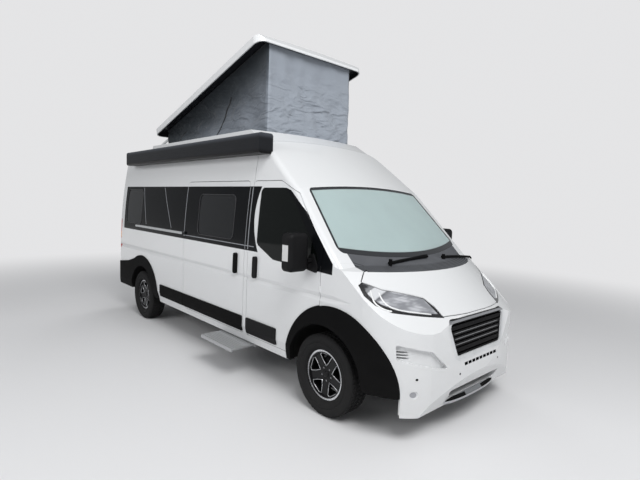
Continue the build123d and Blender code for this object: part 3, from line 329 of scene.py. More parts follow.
def paintSurface(name, extra=None, dust=0.22):
    p = paint
    mat, tree, shader = newMaterial(name, Coat_Roughness=0.05, Coat_Weight=p["coat"])
    vector, x, y, z = objectAxes(tree)
    film = useGroup(tree, roadFilm, Amount=dust, Height=1.0)
    colour = mixColor(film["Mask"], p["white"], p["dust"])
    if extra:
        colour, dull = extra(colour, x, y, z)
        setInputs(shader, Coat_Weight=scaleAdd(dull, p["coatFall"], p["coat"]),
                  Specular_IOR_Level=scaleAdd(dull, p["shineFall"], p["shine"]))
    roughness = scaleAdd(noiseNode(vector, 4.0, 4.0), p["roughSpread"], p["rough"])
    setInputs(shader, Base_Color=colour, Roughness=roughness)
    addBump(shader, noiseNode(vector, 260.0, 2.0), 0.01, 0.0003)
    return mat


def lineMask(x, z, start, end, width):
    slope = (end[0] - start[0]) / (end[1] - start[1])
    onLine = abs(x - straight(z, start[1], start[0], slope))
    low, high = sorted((start[1], end[1]))
    return ramp(onLine, width, width * 0.5) * between(z, low, high)


# Black quarter panel ahead of the cab window: straight edges by z, x and slope, foot by x, z and slope
quarterPanel = dict(rear=1.350, front=2.140, side=(0.945, 0.949), soft=0.002, foot=(1.300, 1.292, -0.038),
                    edges=((1.354, 2.137, -0.925), (1.779, 1.744, -1.302), (1.961, 1.524, -3.20),
                           (1.9955, 1.360, -25.0)))


def quarterMask(x, y, z):
    q = quarterPanel
    limit = q["front"]
    for edge in q["edges"]:
        limit = mathNode("MINIMUM", straight(z, *edge), limit)
    inside = edgeAt(x - limit, 0.0, -q["soft"]) * edgeAt(x, q["rear"], q["soft"])
    return inside * ramp(abs(y), *q["side"]) * edgeAt(z - straight(x, *q["foot"]), 0.0, q["soft"])


def quarterExtra(colour, x, y, z):
    mask = quarterMask(x, y, z)
    return mixColor(mask, colour, paint["film"]), mask


# Dark window film with its thin lines, door edges and the slide rail: x and z in metres
windowBand = dict(low=1.338, high=2.008, rear=-2.775, front=0.945, bow=0.085, bowMiddle=1.70, bowHalf=0.33,
                  side=(0.90, 0.905), soft=0.003, lineWidth=0.008,
                  lines=(((-2.056, 1.995), (-1.867, 1.45)), ((-1.321, 1.995), (-1.002, 1.45)),
                         ((-0.609, 2.0), (-0.608, 1.42)), ((0.807, 2.0), (0.806, 1.35)),
                         ((0.861, 2.0), (0.860, 1.35))),
                  beltX=(-0.60, 0.97), beltZ=(1.382, 1.390),
                  railX=(-2.25, -0.65), railZ=(1.390, 1.422), railSide=(-0.9, -0.95))


def bandExtra(colour, x, y, z):
    b = windowBand
    lift = (z - b["bowMiddle"]) / b["bowHalf"]
    frontEdge = x - b["front"] - lift * lift * b["bow"]
    mask = between(z, b["low"], b["high"]) * edgeAt(frontEdge, 0.0, -b["soft"])
    mask = mask * edgeAt(x, b["rear"], b["soft"]) * ramp(abs(y), *b["side"])
    mask = largest(mask, quarterMask(x, y, z))
    belt = between(x, *b["beltX"]) * between(z, *b["beltZ"])
    lines = largest(belt, *(lineMask(x, z, *ends, b["lineWidth"]) for ends in b["lines"]))
    colour = mixColor(mask, colour, mixColor(lines, paint["film"], paint["line"]))
    rail = between(x, *b["railX"]) * between(z, *b["railZ"]) * ramp(y, *b["railSide"])
    return mixColor(rail, colour, paint["silver"]), mask


# Front bumper: small dark dots of the parking sensors by y and z, a row of dark air slots under the grille
sensorSpots = dict(places=((0.773, 0.529), (0.330, 0.505)), edge=(0.011, 0.0088))
airSlots = dict(z=(0.565, 0.591), pitch=0.062, edge=(-0.90, -0.80), half=0.278, soft=0.002)


def bumperExtra(colour, x, y, z):
    s = airSlots
    side = abs(y)
    spots = []
    for spotY, spotZ in sensorSpots["places"]:
        spots.append(ramp(hypotenuse(side - spotY, z - spotZ), *sensorSpots["edge"]))
    wave = mathNode("COSINE", y * (2 * math.pi / s["pitch"]))
    slots = ramp(wave, *s["edge"]) * between(z, *s["z"]) * edgeAt(side, s["half"], -s["soft"])
    mask = largest(*spots, slots)
    return mixColor(mask, colour, paint["black"]), mask


# Painted shade darkens the underside of the raised roof: its closed frame is turned back about the hinge
roofUnderShade = dict(front=0.840, rear=-1.996, half=0.822, corner=0.110, inner=0.0975, lip=0.030,
                  frontLean=0.625,
                  rearLean=0.430, ceiling=0.097, sag=0.063, soft=0.001, tone=(0.016, 0.017, 0.020))


def underShadeExtra(colour, x, y, z):
    r, h = roofUnderShade, roofHinge
    turnCos, turnSin = math.cos(h["turn"]), math.sin(h["turn"])
    dx, dz = x - h["x"], z - h["z"]
    run = dx * turnCos + dz * turnSin
    rise = dz * turnCos - dx * turnSin
    lean = largest(rise - r["lip"], 0.0)
    ahead = scaleAdd(lean, r["frontLean"], run) - (r["front"] - r["corner"] - h["x"])
    behind = (r["rear"] + r["corner"] - h["x"]) - scaleAdd(lean, -r["rearLean"], run)
    past = largest(ahead, behind, 0.0)
    aside = largest(abs(y) - (r["half"] - r["corner"]), 0.0)
    roof = scaleAdd(y * y, -r["sag"], r["ceiling"])
    under = edgeAt(rise - roof, 0.0, -r["soft"])
    mask = under * edgeAt(hypotenuse(past, aside), r["inner"], -r["soft"])
    return mixColor(mask, colour, r["tone"]), mask


whitePaint = paintSurface("whitePaint")
bandPaint = paintSurface("bandPaint", bandExtra)
pillarPaint = paintSurface("pillarPaint", quarterExtra)
bumperPaint = paintSurface("bumperPaint", bumperExtra, 0.3)
roofPaint = paintSurface("roofPaint", None, 0.0)
popPaint = paintSurface("popPaint", underShadeExtra, 0.0)


# Plastics, metals and rubber
def plasticSurface(name, tone, rough, grain=420.0, depth=0.35, dust=0.05, shine=0.08, extra=None):
    mat, tree, shader = newMaterial(name, Specular_IOR_Level=shine)
    vector, x, y, z = objectAxes(tree)
    skin = useGroup(tree, mouldGrain, Scale=grain)
    film = useGroup(tree, roadFilm, Amount=dust, Height=0.9)
    light = tuple(min(1, t * 1.6 + 0.002) for t in tone)
    colour = mixColor(film["Mask"], mixColor(skin["Tone"], tone, light), (0.16, 0.15, 0.14))
    roughness = scaleAdd(skin["Tone"], 0.2, rough - 0.1)
    if extra:
        colour, roughness, metal = extra(colour, roughness, x, y, z)
        if metal:
            setInputs(shader, Metallic=metal)
    setInputs(shader, Base_Color=colour, Roughness=roughness)
    addBump(shader, skin["Height"], depth, 0.0006)
    return mat


def metalSurface(name, tone, rough, brush=(6.0, 220.0), metallic=1.0, extra=None):
    mat, tree, shader = newMaterial(name, Metallic=metallic, Specular_IOR_Level=0.25)
    vector, x, y, z = objectAxes(tree)
    along, across = brush
    streak = noiseNode(stretched(vector, (along, across, across)), 1.0)
    colour = mixColor(streak, tuple(t * 0.85 for t in tone), tone)
    if extra:
        colour = extra(colour, x, y, z)
    setInputs(shader, Base_Color=colour, Roughness=scaleAdd(streak, 0.25, rough - 0.12))
    addBump(shader, streak, 0.05, 0.0003)
    return mat


# Door mirrors: glass on the back face, indicator strip on the outer face
mirrorFaces = dict(backX=(1.7856, 1.7852), glassY=(1.083, 1.262), upperZ=(1.375, 1.578),
                   lowerZ=(1.283, 1.360),
                   lampX=(1.790, 1.866), lampZ=(1.358, 1.496), lampY=(1.262, 1.266),
                   glass=(0.70, 0.72, 0.74), lens=(0.62, 0.62, 0.62), polish=-0.95)


def mirrorExtra(colour, roughness, x, y, z):
    m = mirrorFaces
    side = abs(y)
    panes = largest(between(z, *m["upperZ"]), between(z, *m["lowerZ"]))
    glass = panes * between(side, *m["glassY"]) * ramp(x, *m["backX"])
    lens = between(x, *m["lampX"]) * between(z, *m["lampZ"]) * ramp(side, *m["lampY"])
    colour = mixColor(lens, mixColor(glass, colour, m["glass"]), m["lens"])
    return colour, roughness * scaleAdd(largest(glass, lens), m["polish"], 1.0), glass


# Grille slats with thin painted highlight lines that fade to the sides
grilleHighlights = dict(heights=(0.7447, 0.7900, 0.8353), half=0.0032, soft=0.0008, fade=(0.40, 0.34),
                   tone=(0.20, 0.205, 0.21))


def grilleHighlightExtra(colour, roughness, x, y, z):
    g = grilleHighlights
    half, soft = g["half"], g["soft"]
    lines = largest(*(between(z, height - half, height + half, soft) for height in g["heights"]))
    return mixColor(lines * ramp(abs(y), *g["fade"]), colour, g["tone"]), roughness, None


# Grille surround: pale frame, silver bar along the top under a black line
surroundTones = dict(bar=(0.918, 0.926), line=(0.947, 0.949), silver=(0.42, 0.43, 0.45),
                     black=(0.004, 0.004, 0.004))


def surroundExtra(colour, roughness, x, y, z):
    t = surroundTones
    bar, line = ramp(z, *t["bar"]), ramp(z, *t["line"])
    colour = mixColor(line, mixColor(bar, colour, t["silver"]), t["black"])
    return colour, roughness, bar * (1.0 - line)


# Scuttle louvres beside the bonnet's curved rear edge
louvres = dict(curve=0.3045, zone=(2.430, 2.552), pitch=0.024, edge=(0.2, 0.7), tone=(0.006, 0.006, 0.007))


def scuttleExtra(colour, roughness, x, y, z):
    s = louvres
    run = x + y * y * s["curve"]
    wave = mathNode("SINE", run * (2 * math.pi / s["pitch"]))
    slots = ramp(wave, *s["edge"]) * between(run, *s["zone"])
    return mixColor(slots, colour, s["tone"]), roughness, None


# Awning case: painted highlight along the top edge, painted shade darkening the underside
awningShading = dict(top=(2.478, 2.528), base=(2.385, 2.345), pale=(0.055, 0.060, 0.072),
                   black=(0.003, 0.003, 0.003))


def awningShadingExtra(colour, x, y, z):
    t = awningShading
    colour = mixColor(ramp(z, *t["top"]), colour, t["pale"])
    return mixColor(ramp(z, *t["base"]), colour, t["black"])


blackTrim = plasticSurface("blackTrim", (0.0028, 0.0028, 0.003), 0.65, shine=0.05)
mirrorTrim = plasticSurface("mirrorTrim", (0.0045, 0.0045, 0.005), 0.55, shine=0.14, extra=mirrorExtra)
blackGloss = plasticSurface("blackGloss", (0.005, 0.005, 0.006), 0.25, 900.0, 0.05, 0.02, 0.3)
grilleBlack = plasticSurface("grilleBlack", (0.0025, 0.0025, 0.003), 0.45, 900.0, 0.05, 0.02, 0.08,
                             grilleHighlightExtra)
scuttleTrim = plasticSurface("scuttleTrim", (0.070, 0.073, 0.080), 0.6, 300.0, 0.2, 0.0, 0.2, scuttleExtra)
surroundTrim = plasticSurface("surroundTrim", (0.44, 0.45, 0.46), 0.35, 900.0, 0.03, 0.0, 0.4, surroundExtra)
greyPlastic = plasticSurface("greyPlastic", (0.045, 0.045, 0.048), 0.5, 300.0, 0.4, 0.0, 0.3)
linerPlastic = plasticSurface("linerPlastic", (0.004, 0.004, 0.004), 0.8, 120.0, 0.6, 0.15, 0.1)
chassisPaint = plasticSurface("chassisPaint", (0.012, 0.012, 0.013), 0.6, 90.0, 0.4, 0.35, 0.2)
castIron = plasticSurface("castIron", (0.050, 0.048, 0.046), 0.65, 160.0, 0.8, 0.3, 0.2)
satinSilver = metalSurface("satinSilver", (0.50, 0.51, 0.53), 0.35)
stepAlloy = metalSurface("stepAlloy", (0.52, 0.53, 0.54), 0.5, metallic=0.6)
steelTube = metalSurface("steelTube", (0.30, 0.30, 0.31), 0.45)
awningShell = metalSurface("awningShell", (0.013, 0.014, 0.017), 0.45, (3.0, 90.0), 0.2, awningShadingExtra)
rimBlack = metalSurface("rimBlack", (0.012, 0.012, 0.013), 0.38, (40.0, 40.0), 0.3)
rimSilver = metalSurface("rimSilver", (0.72, 0.73, 0.75), 0.28, (60.0, 60.0))


def rubberSurface():
    mat, tree, shader = newMaterial("tyreRubber", Specular_IOR_Level=0.2)
    vector, x, y, z = objectAxes(tree)
    tone = noiseNode(vector, 14.0, 5.0)
    film = useGroup(tree, roadFilm, Amount=0.12, Height=0.8)
    colour = mixColor(tone, (0.006, 0.006, 0.0065), (0.016, 0.016, 0.0165))
    colour = mixColor(film["Mask"], colour, (0.12, 0.115, 0.11))
    setInputs(shader, Base_Color=colour, Roughness=ramp(tone, -1.6, 1.2))
    addBump(shader, noiseNode(vector, 420.0, 2.0), 0.2, 0.0005)
    return mat


# Windscreen with a dark printed border: half widths and heights at its corners and in the middle
screen = dict(lowHalf=0.925, lowZ=1.445, lowMid=1.376, highHalf=0.832, highZ=2.000, highMid=2.042,
              border=0.028, footBorder=0.0448, soft=0.004, borderTone=(0.030, 0.032, 0.035))


def borderMask(x, y, z):
    s = screen
    slope = (s["highHalf"] - s["lowHalf"]) / (s["highZ"] - s["lowZ"])
    limit = straight(z, s["lowZ"], s["lowHalf"] - s["border"], slope)
    square = y * y
    top = scaleAdd(square, (s["highZ"] - s["highMid"]) / s["highHalf"] ** 2, s["highMid"] - s["border"])
    base = scaleAdd(square, (s["lowZ"] - s["lowMid"]) / s["lowHalf"] ** 2, s["lowMid"] + s["footBorder"])
    return largest(*(edgeAt(past, 0.0, s["soft"]) for past in (abs(y) - limit, z - top, base - z)))


def glassSurface(name, tone, transmission, shine, edge=None):
    mat, tree, shader = newMaterial(name, Transmission_Weight=transmission, IOR=1.45,
                                    Specular_IOR_Level=shine)
    vector, x, y, z = objectAxes(tree)
    haze = noiseNode(vector, 2.5, 4.0)
    colour = mixColor(haze, tone, tuple(min(1, t * 1.15) for t in tone))
    if edge:
        border = edge(x, y, z)
        colour = mixColor(border, colour, screen["borderTone"])
        setInputs(shader, Transmission_Weight=scaleAdd(border, -transmission, transmission))
    setInputs(shader, Base_Color=colour, Roughness=ramp(haze, -0.2, 14.0, False))
    return mat


# Head and fog lamps: dark frame along both edges, bright bowl, chrome ring round the fog lens
lampPlan = dict(tipX=2.396, low=(-1.5137, 2.0115, -1.1129, 1.2125), top=(2.392, 0.925, -1.311),
                inner=(2.707, 0.497, -0.2), lowFrame=(0.0221, 0.017), topFrame=(0.0289, 0.0221),
                bowl=(2.525, 2.575),
                strip=(2.474, 2.540), stripSoft=0.006, ribs=420.0, ribLean=0.35,
                fog=(0.788, 0.405), fogRing=(0.021, 0.023), fogTop=(0.62, 0.60))


def lampSurface():
    c = lampPlan
    mat, tree, shader = newMaterial("headLampLens", Coat_Weight=1.0, Coat_Roughness=0.03,
                                    Specular_IOR_Level=0.5)
    vector, x, y, z = objectAxes(tree)
    side = abs(y)
    run = x - c["tipX"]
    edge = c["low"][0]
    for factor in c["low"][1:]:
        edge = scaleAdd(run, edge, factor)
    inside = side - largest(straight(x, *c["top"]), straight(x, *c["inner"]))
    border = largest(ramp(z - edge, *c["lowFrame"]), ramp(inside, *c["topFrame"]))
    bowl = ramp(x, *c["bowl"])
    ribs = mathNode("SINE", (z + x * c["ribLean"]) * c["ribs"])
    # painted reflections: the glint noise lays light patches on the silver bowl and on the dark rear of the
    # lamp
    glint = noiseNode(stretched(vector, (3.0, 3.0, 9.0)), 2.2, 2.0)
    silver = mixColor(ramp(glint, 0.36, 0.62), (0.36, 0.37, 0.40), (0.72, 0.73, 0.77))
    silver = mixColor(ramp(ribs, 0.5, 1.0) * 0.5, silver, (0.34, 0.35, 0.38))
    rear = mixColor(ramp(glint, 0.44, 0.60), (0.012, 0.012, 0.014), (0.20, 0.205, 0.215))
    rear = mixColor(between(x, *c["strip"], c["stripSoft"]), rear, (0.60, 0.61, 0.63))
    colour = mixColor(border, mixColor(bowl, rear, silver), paint["black"])
    away = hypotenuse(side - c["fog"][0], z - c["fog"][1])
    fog = mixColor(ramp(away, *c["fogRing"]), (0.30, 0.31, 0.33), (0.66, 0.67, 0.69))
    colour = mixColor(ramp(z, *c["fogTop"]), colour, fog)
    setInputs(shader, Base_Color=colour, Roughness=ramp(glint, -0.6, 3.5),
              Metallic=bowl * (1.0 - border) * 0.5)
    return mat


# Tail lamps: red with a clear and an amber band, by z and tone
tailBands = (((1.06, 1.16), (0.60, 0.58, 0.57)), ((1.18, 1.27), (0.70, 0.24, 0.03)))


def tailSurface():
    mat, tree, shader = newMaterial("tailLampLens", Coat_Weight=1.0, Coat_Roughness=0.04)
    vector, x, y, z = objectAxes(tree)
    facets = Wire(newNode(tree, "ShaderNodeTexVoronoi", Scale=90.0, Vector=vector).outputs["Distance"])
    colour = mixColor(facets, (0.30, 0.008, 0.008), (0.62, 0.03, 0.025))
    for limits, tone in tailBands:
        colour = mixColor(between(z, *limits), colour, tone)
    setInputs(shader, Base_Color=colour, Roughness=ramp(facets, -0.4, 3.0))
    return mat


def woodSurface():
    mat, tree, shader = newMaterial("cabinetBoard")
    vector, x, y, z = objectAxes(tree)
    wave = newNode(tree, "ShaderNodeTexWave", Scale=3.0, Distortion=7.0, Detail=3.0, Vector=vector)
    grain = Wire(wave.outputs["Fac"])
    colour = mixColor(grain, (0.34, 0.24, 0.16), (0.50, 0.38, 0.27))
    setInputs(shader, Base_Color=colour, Roughness=ramp(grain, -1.0, 2.4))
    addBump(shader, grain, 0.1, 0.0005)
    return mat


# Tent cloth: painted light on the front panel, painted shade under the lid, dark straps down the side walls
# by x and z of both ends
tentMarks = dict(straps=(((-0.225, 3.144), (-0.506, 2.650)), ((-1.420, 2.823), (-1.578, 2.664))), width=0.020,
                 wall=(0.50, 0.51), front=(0.300, 0.330, 0.375), frontLightShare=0.85, soft=0.004,
                 calm=(3.50, 3.00),
                 lidSlope=0.2905, shade=(0.05, 0.60), dark=(0.018, 0.023, 0.028))


def tentExtra(colour, x, y, z):
    t = tentMarks
    side = abs(y)
    straps = largest(*(lineMask(x, z, *ends, t["width"]) for ends in t["straps"])) * ramp(side, *t["wall"])
    ahead = edgeAt(x - side, 0.0, t["soft"])
    lid = straight(x, roofHinge["x"], roofHinge["z"], t["lidSlope"])
    # painted shade: the walls darken towards the lid above them
    colour = mixColor(ramp(lid - z, *t["shade"]), t["dark"], colour)
    # painted light: the front wall is paler than the side walls
    colour = mixColor(ahead * t["frontLightShare"], colour, t["front"])
    return mixColor(straps, colour, paint["black"])


def clothSurface(name, dark, light, pitch, sheen, folded=0.0, extra=None):
    mat, tree, shader = newMaterial(name, Roughness=0.85, Sheen_Weight=sheen, Specular_IOR_Level=0.25)
    vector, x, y, z = objectAxes(tree)
    weave = useGroup(tree, clothWeave, Pitch=pitch)
    colour = mixColor(ramp(weave["Tone"], 0.3, 0.75), dark, light)
    if extra:
        colour = extra(colour, x, y, z)
    setInputs(shader, Base_Color=colour)
    under = None
    if folded:
        folds = useGroup(tree, clothCrumple, Amount=1.0)
        under = addBump(shader, folds["Height"] * ramp(z, *tentMarks["calm"]), folded, 0.02)
    addBump(shader, weave["Height"], 0.2, 0.0006, under)
    return mat


tyreRubber = rubberSurface()
tintGlass = glassSurface("tintGlass", (0.012, 0.013, 0.015), 0.3, 0.3)
cabGlass = glassSurface("cabGlass", (0.005, 0.007, 0.0065), 0.4, 0.05)
# the pale teal tone of the windscreen is a painted reflection of the bright sky
screenGlass = glassSurface("screenGlass", (0.57, 0.69, 0.69), 0.45, 0.4, borderMask)
headLampLens = lampSurface()
tailLampLens = tailSurface()
cabinetBoard = woodSurface()
tentCloth = clothSurface("tentCloth", (0.135, 0.154, 0.180), (0.180, 0.200, 0.230), 900.0, 0.1, 0.75,
                         tentExtra)
seatCloth = clothSurface("seatCloth", (0.020, 0.021, 0.023), (0.050, 0.052, 0.056), 1400.0, 0.3)
mattressCloth = clothSurface("mattressCloth", (0.36, 0.37, 0.39), (0.50, 0.51, 0.53), 1100.0, 0.3)
lensWhite = plasticSurface("lensWhite", (0.62, 0.63, 0.64), 0.2, 700.0, 0.03, 0.0, 0.5)
frameBlack = plasticSurface("frameBlack", (0.020, 0.020, 0.022), 0.4, 700.0, 0.1, 0.0, 0.4)

finishes = (
    (whitePaint, "roof_panel bonnet rear_door_right rear_door_left"),
    (bandPaint, "body_side_right body_side_left sliding_door cab_door_right cab_door_left"),
    (pillarPaint, "front_wings cab_frame"),
    (roofPaint, "roof_base"),
    (popPaint, "pop_roof"),
    (bumperPaint, "front_bumper"),
    (screenGlass, "windscreen"),
    (tintGlass, "fixed_panes rear_pane_right rear_pane_left"),
    (cabGlass, "cab_pane_right cab_pane_left"),
    (scuttleTrim, "scuttle"),
    (grilleBlack, "grille"),
    (surroundTrim, "grille_surround"),
    (headLampLens, "front_lamps"),
    (tailLampLens, "tail_lamps"),
    (blackTrim, "side_claddings rear_bumper wipers"),
    (mirrorTrim, "cab_trim_right cab_trim_left"),
    (awningShell, "awning_case"),
    (tentCloth, "tent"),
    (stepAlloy, "step_frame step_tread"),
    (greyPlastic, "dashboard"),
    (blackGloss, "steering_wheel"),
    (seatCloth, "front_seats"),
    (cabinetBoard, "furniture"),
    (chassisPaint, "floor front_suspension rear_axle"),
    (castIron, "engine knuckle_right knuckle_left"),
    (steelTube, "exhaust leaf_springs"),
    (linerPlastic, "fuel_tank wheel_liners"),
    (rimBlack, "rim_front_left rim_front_right rim_rear_left rim_rear_right"),
    (tyreRubber, "tyre_front_left tyre_front_right tyre_rear_left tyre_rear_right"),
)
dressed = [(name, mat) for mat, names in finishes for name in names.split()]
for name, mat in dressed:
    data = nodes[name].data
    data.materials.clear()
    data.materials.append(mat)
print("stage: materials on", len(dressed), "nodes")


# Mesh helpers
def placeMesh(name, mesh, mat, smooth=True):
    obj = bpy.data.objects.new(name, mesh)
    scene.collection.objects.link(obj)
    mesh.materials.clear()
    mesh.materials.append(mat)
    for poly in mesh.polygons:
        poly.use_smooth = smooth
    return obj


def meshObject(name, verts, faces, mat, smooth=True):
    mesh = bpy.data.meshes.new(name)
    mesh.from_pydata(verts, [], faces)
    mesh.update()
    return placeMesh(name, mesh, mat, smooth)


def meshFrom(name, bm):
    mesh = bpy.data.meshes.new(name)
    bm.to_mesh(mesh)
    bm.free()
    return mesh


def evaluatedMesh(obj):
    return bpy.data.meshes.new_from_object(obj.evaluated_get(bpy.context.evaluated_depsgraph_get()))


def bakeModifiers(obj):
    mesh = evaluatedMesh(obj)
    obj.modifiers.clear()
    obj.data = mesh
    return obj


def recalcNormals(obj, weld=1e-6):
    bm = bmesh.new()
    bm.from_mesh(obj.data)
    bmesh.ops.remove_doubles(bm, verts=bm.verts, dist=weld)
    bmesh.ops.recalc_face_normals(bm, faces=bm.faces)
    bm.to_mesh(obj.data)
    bm.free()


def settle(obj, body):
    recalcNormals(obj)
    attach(obj, body)


def tubeObject(name, lines, radius, mat, closed=False):
    curve = bpy.data.curves.new(name, "CURVE")
    curve.dimensions = "3D"
    curve.bevel_depth = radius
    curve.bevel_resolution = 2
    curve.use_fill_caps = True
    for points in lines:
        line = curve.splines.new("POLY")
        line.points.add(len(points) - 1)
        line.use_cyclic_u = closed
        for p, co in zip(line.points, points):
            p.co = (*co, 1)
    spare = bpy.data.objects.new(name + "Line", curve)
    scene.collection.objects.link(spare)
    mesh = evaluatedMesh(spare)
    bpy.data.objects.remove(spare)
    return placeMesh(name, mesh, mat)


def smoothLine(points, steps):
    result = []
    last = len(points) - 1
    for i in range(last):
        a, b, c, d = (Vector(points[min(max(i + k, 0), last)]) for k in (-1, 0, 1, 2))
        for j in range(steps):
            t = j / steps
            square, cube = 2 * a - 5 * b + 4 * c - d, 3 * b - a - 3 * c + d
            result.append(0.5 * (2 * b + (c - a) * t + square * t * t + cube * t ** 3))
    return result + [Vector(points[last])]


def boxObject(name, low, high, mat, bevel=0.003):
    bm = bmesh.new()
    bmesh.ops.create_cube(bm, size=1.0)
    size = Vector(high) - Vector(low)
    middle = (Vector(high) + Vector(low)) / 2
    for v in bm.verts:
        v.co = v.co * size + middle
    bmesh.ops.bevel(bm, geom=bm.edges[:], offset=bevel, segments=2, affect="EDGES")
    return placeMesh(name, meshFrom(name, bm), mat, False)


# Tent: one sheet of cloth round the four walls
tentCut = dict(rear=-1.930, front=0.662, frontTop=0.640, half=0.662, corner=0.05, foot=2.6303, tuck=0.050,
               across=340, tall=44, cloth=0.003, sideHollow=0.075, endHollow=0.03, fullBelly=0.5)
# Folds: depth, share of each kind, waves along and up the wall, and how far noise leads them astray
tentFolds = dict(depth=0.024, edge=0.35, ease=0.6, grain=(2.1, 2.1, 1.2),
                 crease=dict(share=0.45, scale=1.6, gap=2.1, octaves=3, gain=2.0),
                 slant=dict(share=0.5, along=19.8, up=9.9, stray=2.0),
                 upright=dict(share=0.3, along=31.0, stray=3.0, scale=1.7),
                 slack=dict(share=0.8, along=4.0, up=34.0, stray=5.0, scale=0.9, fade=3.2))


def tentLine(c, t):
    rear, front, half, corner = c["rear"], c["front"], c["half"], c["corner"]
    run, span = front - rear - 2 * corner, 2 * half - 2 * corner
    bend = math.pi / 2 * corner
    s = (t % 1.0) * (2 * (run + span) + 4 * bend)
    sides = [((rear + corner, -half), (1, 0), run), ((front, -half + corner), (0, 1), span),
             ((front - corner, half), (-1, 0), run), ((rear, half - corner), (0, -1), span)]
    for (px, py), (dx, dy), size in sides:
        if s <= size:
            return (px + dx * s, py + dy * s), (dy, -dx), s / size
        s -= size
        if s <= bend:
            a = s / corner
            cx, cy = px + dx * size - dy * corner, py + dy * size + dx * corner
            nx, ny = dy * math.cos(a) + dx * math.sin(a), -dx * math.cos(a) + dy * math.sin(a)
            return (cx + nx * corner, cy + ny * corner), (nx, ny), 0.0
        s -= bend
    return (rear + corner, -half), (0, -1), 0.0


def foldAt(f, x, y, z, along, v):
    spot = Vector(a * b for a, b in zip((x, y, z), f["grain"]))
    k = f["crease"]
    total = k["share"] * noise.ridged_multi_fractal(spot * k["scale"], 1.0, k["gap"], k["octaves"], 1.0,
                                                    k["gain"],
                                                    noise_basis="PERLIN_ORIGINAL")
    k = f["slant"]
    total += k["share"] * math.sin(k["along"] * along + k["up"] * v + k["stray"] * noise.noise(spot))
    k = f["upright"]
    total += k["share"] * math.sin(k["along"] * along + k["stray"] * noise.noise(spot * k["scale"]))
    k = f["slack"]
    wave = math.sin(k["up"] * z + k["stray"] * noise.noise(spot * k["scale"]) + k["along"] * along)
    total += k["share"] * wave * math.exp(-k["fade"] * v)
    return f["depth"] * math.sin(math.pi * v) ** f["ease"] * total


def buildTent(c, f):
    verts, faces = [], []
    rise = math.tan(roofHinge["turn"])
    for i in range(c["across"]):
        (x, y), (nx, ny), along = tentLine(c, i / c["across"])
        tall = roofHinge["z"] + (x - roofHinge["x"]) * rise + c["tuck"] - c["foot"]
        middle = math.sin(math.pi * along) ** 0.5 if along > 0 else 0.0
        hollow = c["sideHollow"] * abs(ny) + c["endHollow"] * abs(nx)
        for j in range(c["tall"] + 1):
            v = j / c["tall"]
            z = c["foot"] + tall * v
            px = x - (c["front"] - c["frontTop"]) * v * max(0.0, nx)
            belly = hollow * middle * math.sin(math.pi * v) * min(1.0, tall / c["fullBelly"])
            shift = -belly - foldAt(f, px, y, z, along, v) * (f["edge"] + (1 - f["edge"]) * middle)
            verts.append((px + nx * shift, y + ny * shift, z))
    rows = c["tall"] + 1
    for i in range(c["across"]):
        n = (i + 1) % c["across"]
        for j in range(c["tall"]):
            faces.append((i * rows + j, n * rows + j, n * rows + j + 1, i * rows + j + 1))
    obj = meshObject("tentWalls", verts, faces, tentCloth)
    recalcNormals(obj)
    area = sum(p.area for p in obj.data.polygons)
    skin = obj.modifiers.new("thickness", "SOLIDIFY")
    skin.thickness = c["cloth"]
    skin.offset = -1
    return bakeModifiers(obj), area


tentWalls, tentArea = buildTent(tentCut, tentFolds)
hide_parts("tent")
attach(tentWalls, "body")
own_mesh(tentWalls)
print("stage: tent, flat area", round(tentArea, 2))


# Padded pieces: a rounded block with a crown, pinched sides and sewn channels
def padMesh(size, crown, steps=14, roundness=5.0, pinch=0.04, channels=0, channelDepth=0.0, narrow=4.0,
            axis=0):
    bm = bmesh.new()
    bmesh.ops.create_cube(bm, size=2.0)
    bmesh.ops.subdivide_edges(bm, edges=bm.edges[:], cuts=steps, use_grid_fill=True)
    for v in bm.verts:
        p = Vector(v.co)
        norm = (abs(p.x) ** roundness + abs(p.y) ** roundness + abs(p.z) ** roundness) ** (1 / roundness)
        q = p / norm
        lift = crown * max(0.0, (1 - q.x ** 2) * (1 - q.y ** 2)) * max(0.0, q.z)
        pull = 1 - pinch * (1 - abs(q.x)) * abs(q.y) - pinch * (1 - abs(q.y)) * abs(q.x)
        groove = 0.0
        if channels:
            wave = abs(math.sin(math.pi * channels * (q[axis] * 0.5 + 0.5)))
            groove = channelDepth * (1 - min(1.0, wave * narrow)) * max(0.0, q.z)
        depth = q.z * (size[2] / 2 - crown / 2) + lift - groove - crown / 2
        v.co = Vector((q.x * size[0] / 2 * pull, q.y * size[1] / 2 * pull, depth))
    return bm


def joinPads(name, parts, mat):
    whole = bmesh.new()
    for bm, place in parts:
        bm.transform(place)
        spare = meshFrom("spare", bm)
        whole.from_mesh(spare)
        bpy.data.meshes.remove(spare)
    return placeMesh(name, meshFrom(name, whole), mat)


# Each pad of a seat: size, x and z of its place, crown, lean in degrees and sewn channels
quilt = dict(channels=4, channelDepth=0.006, axis=1)
seatSizes = dict(y=0.480, pads=(((0.50, 0.46, 0.145), (1.25, 0.832), 0.03, 0, quilt),
                                ((0.64, 0.44, 0.12), (0.985, 1.165), 0.03, -96, quilt),
                                ((0.25, 0.26, 0.10), (0.928, 1.566), 0.02, -96, {})))
seatParts = []
for side in (1, -1):
    for size, (x, z), crown, lean, sewn in seatSizes["pads"]:
        place = Matrix.Translation((x, side * seatSizes["y"], z)) @ Matrix.Rotation(math.radians(lean), 4,
                                                                                    "Y")
        seatParts.append((padMesh(size, crown, **sewn), place))
cabSeats = joinPads("cabSeats", seatParts, seatCloth)
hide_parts("front_seats")
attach(cabSeats, "body")

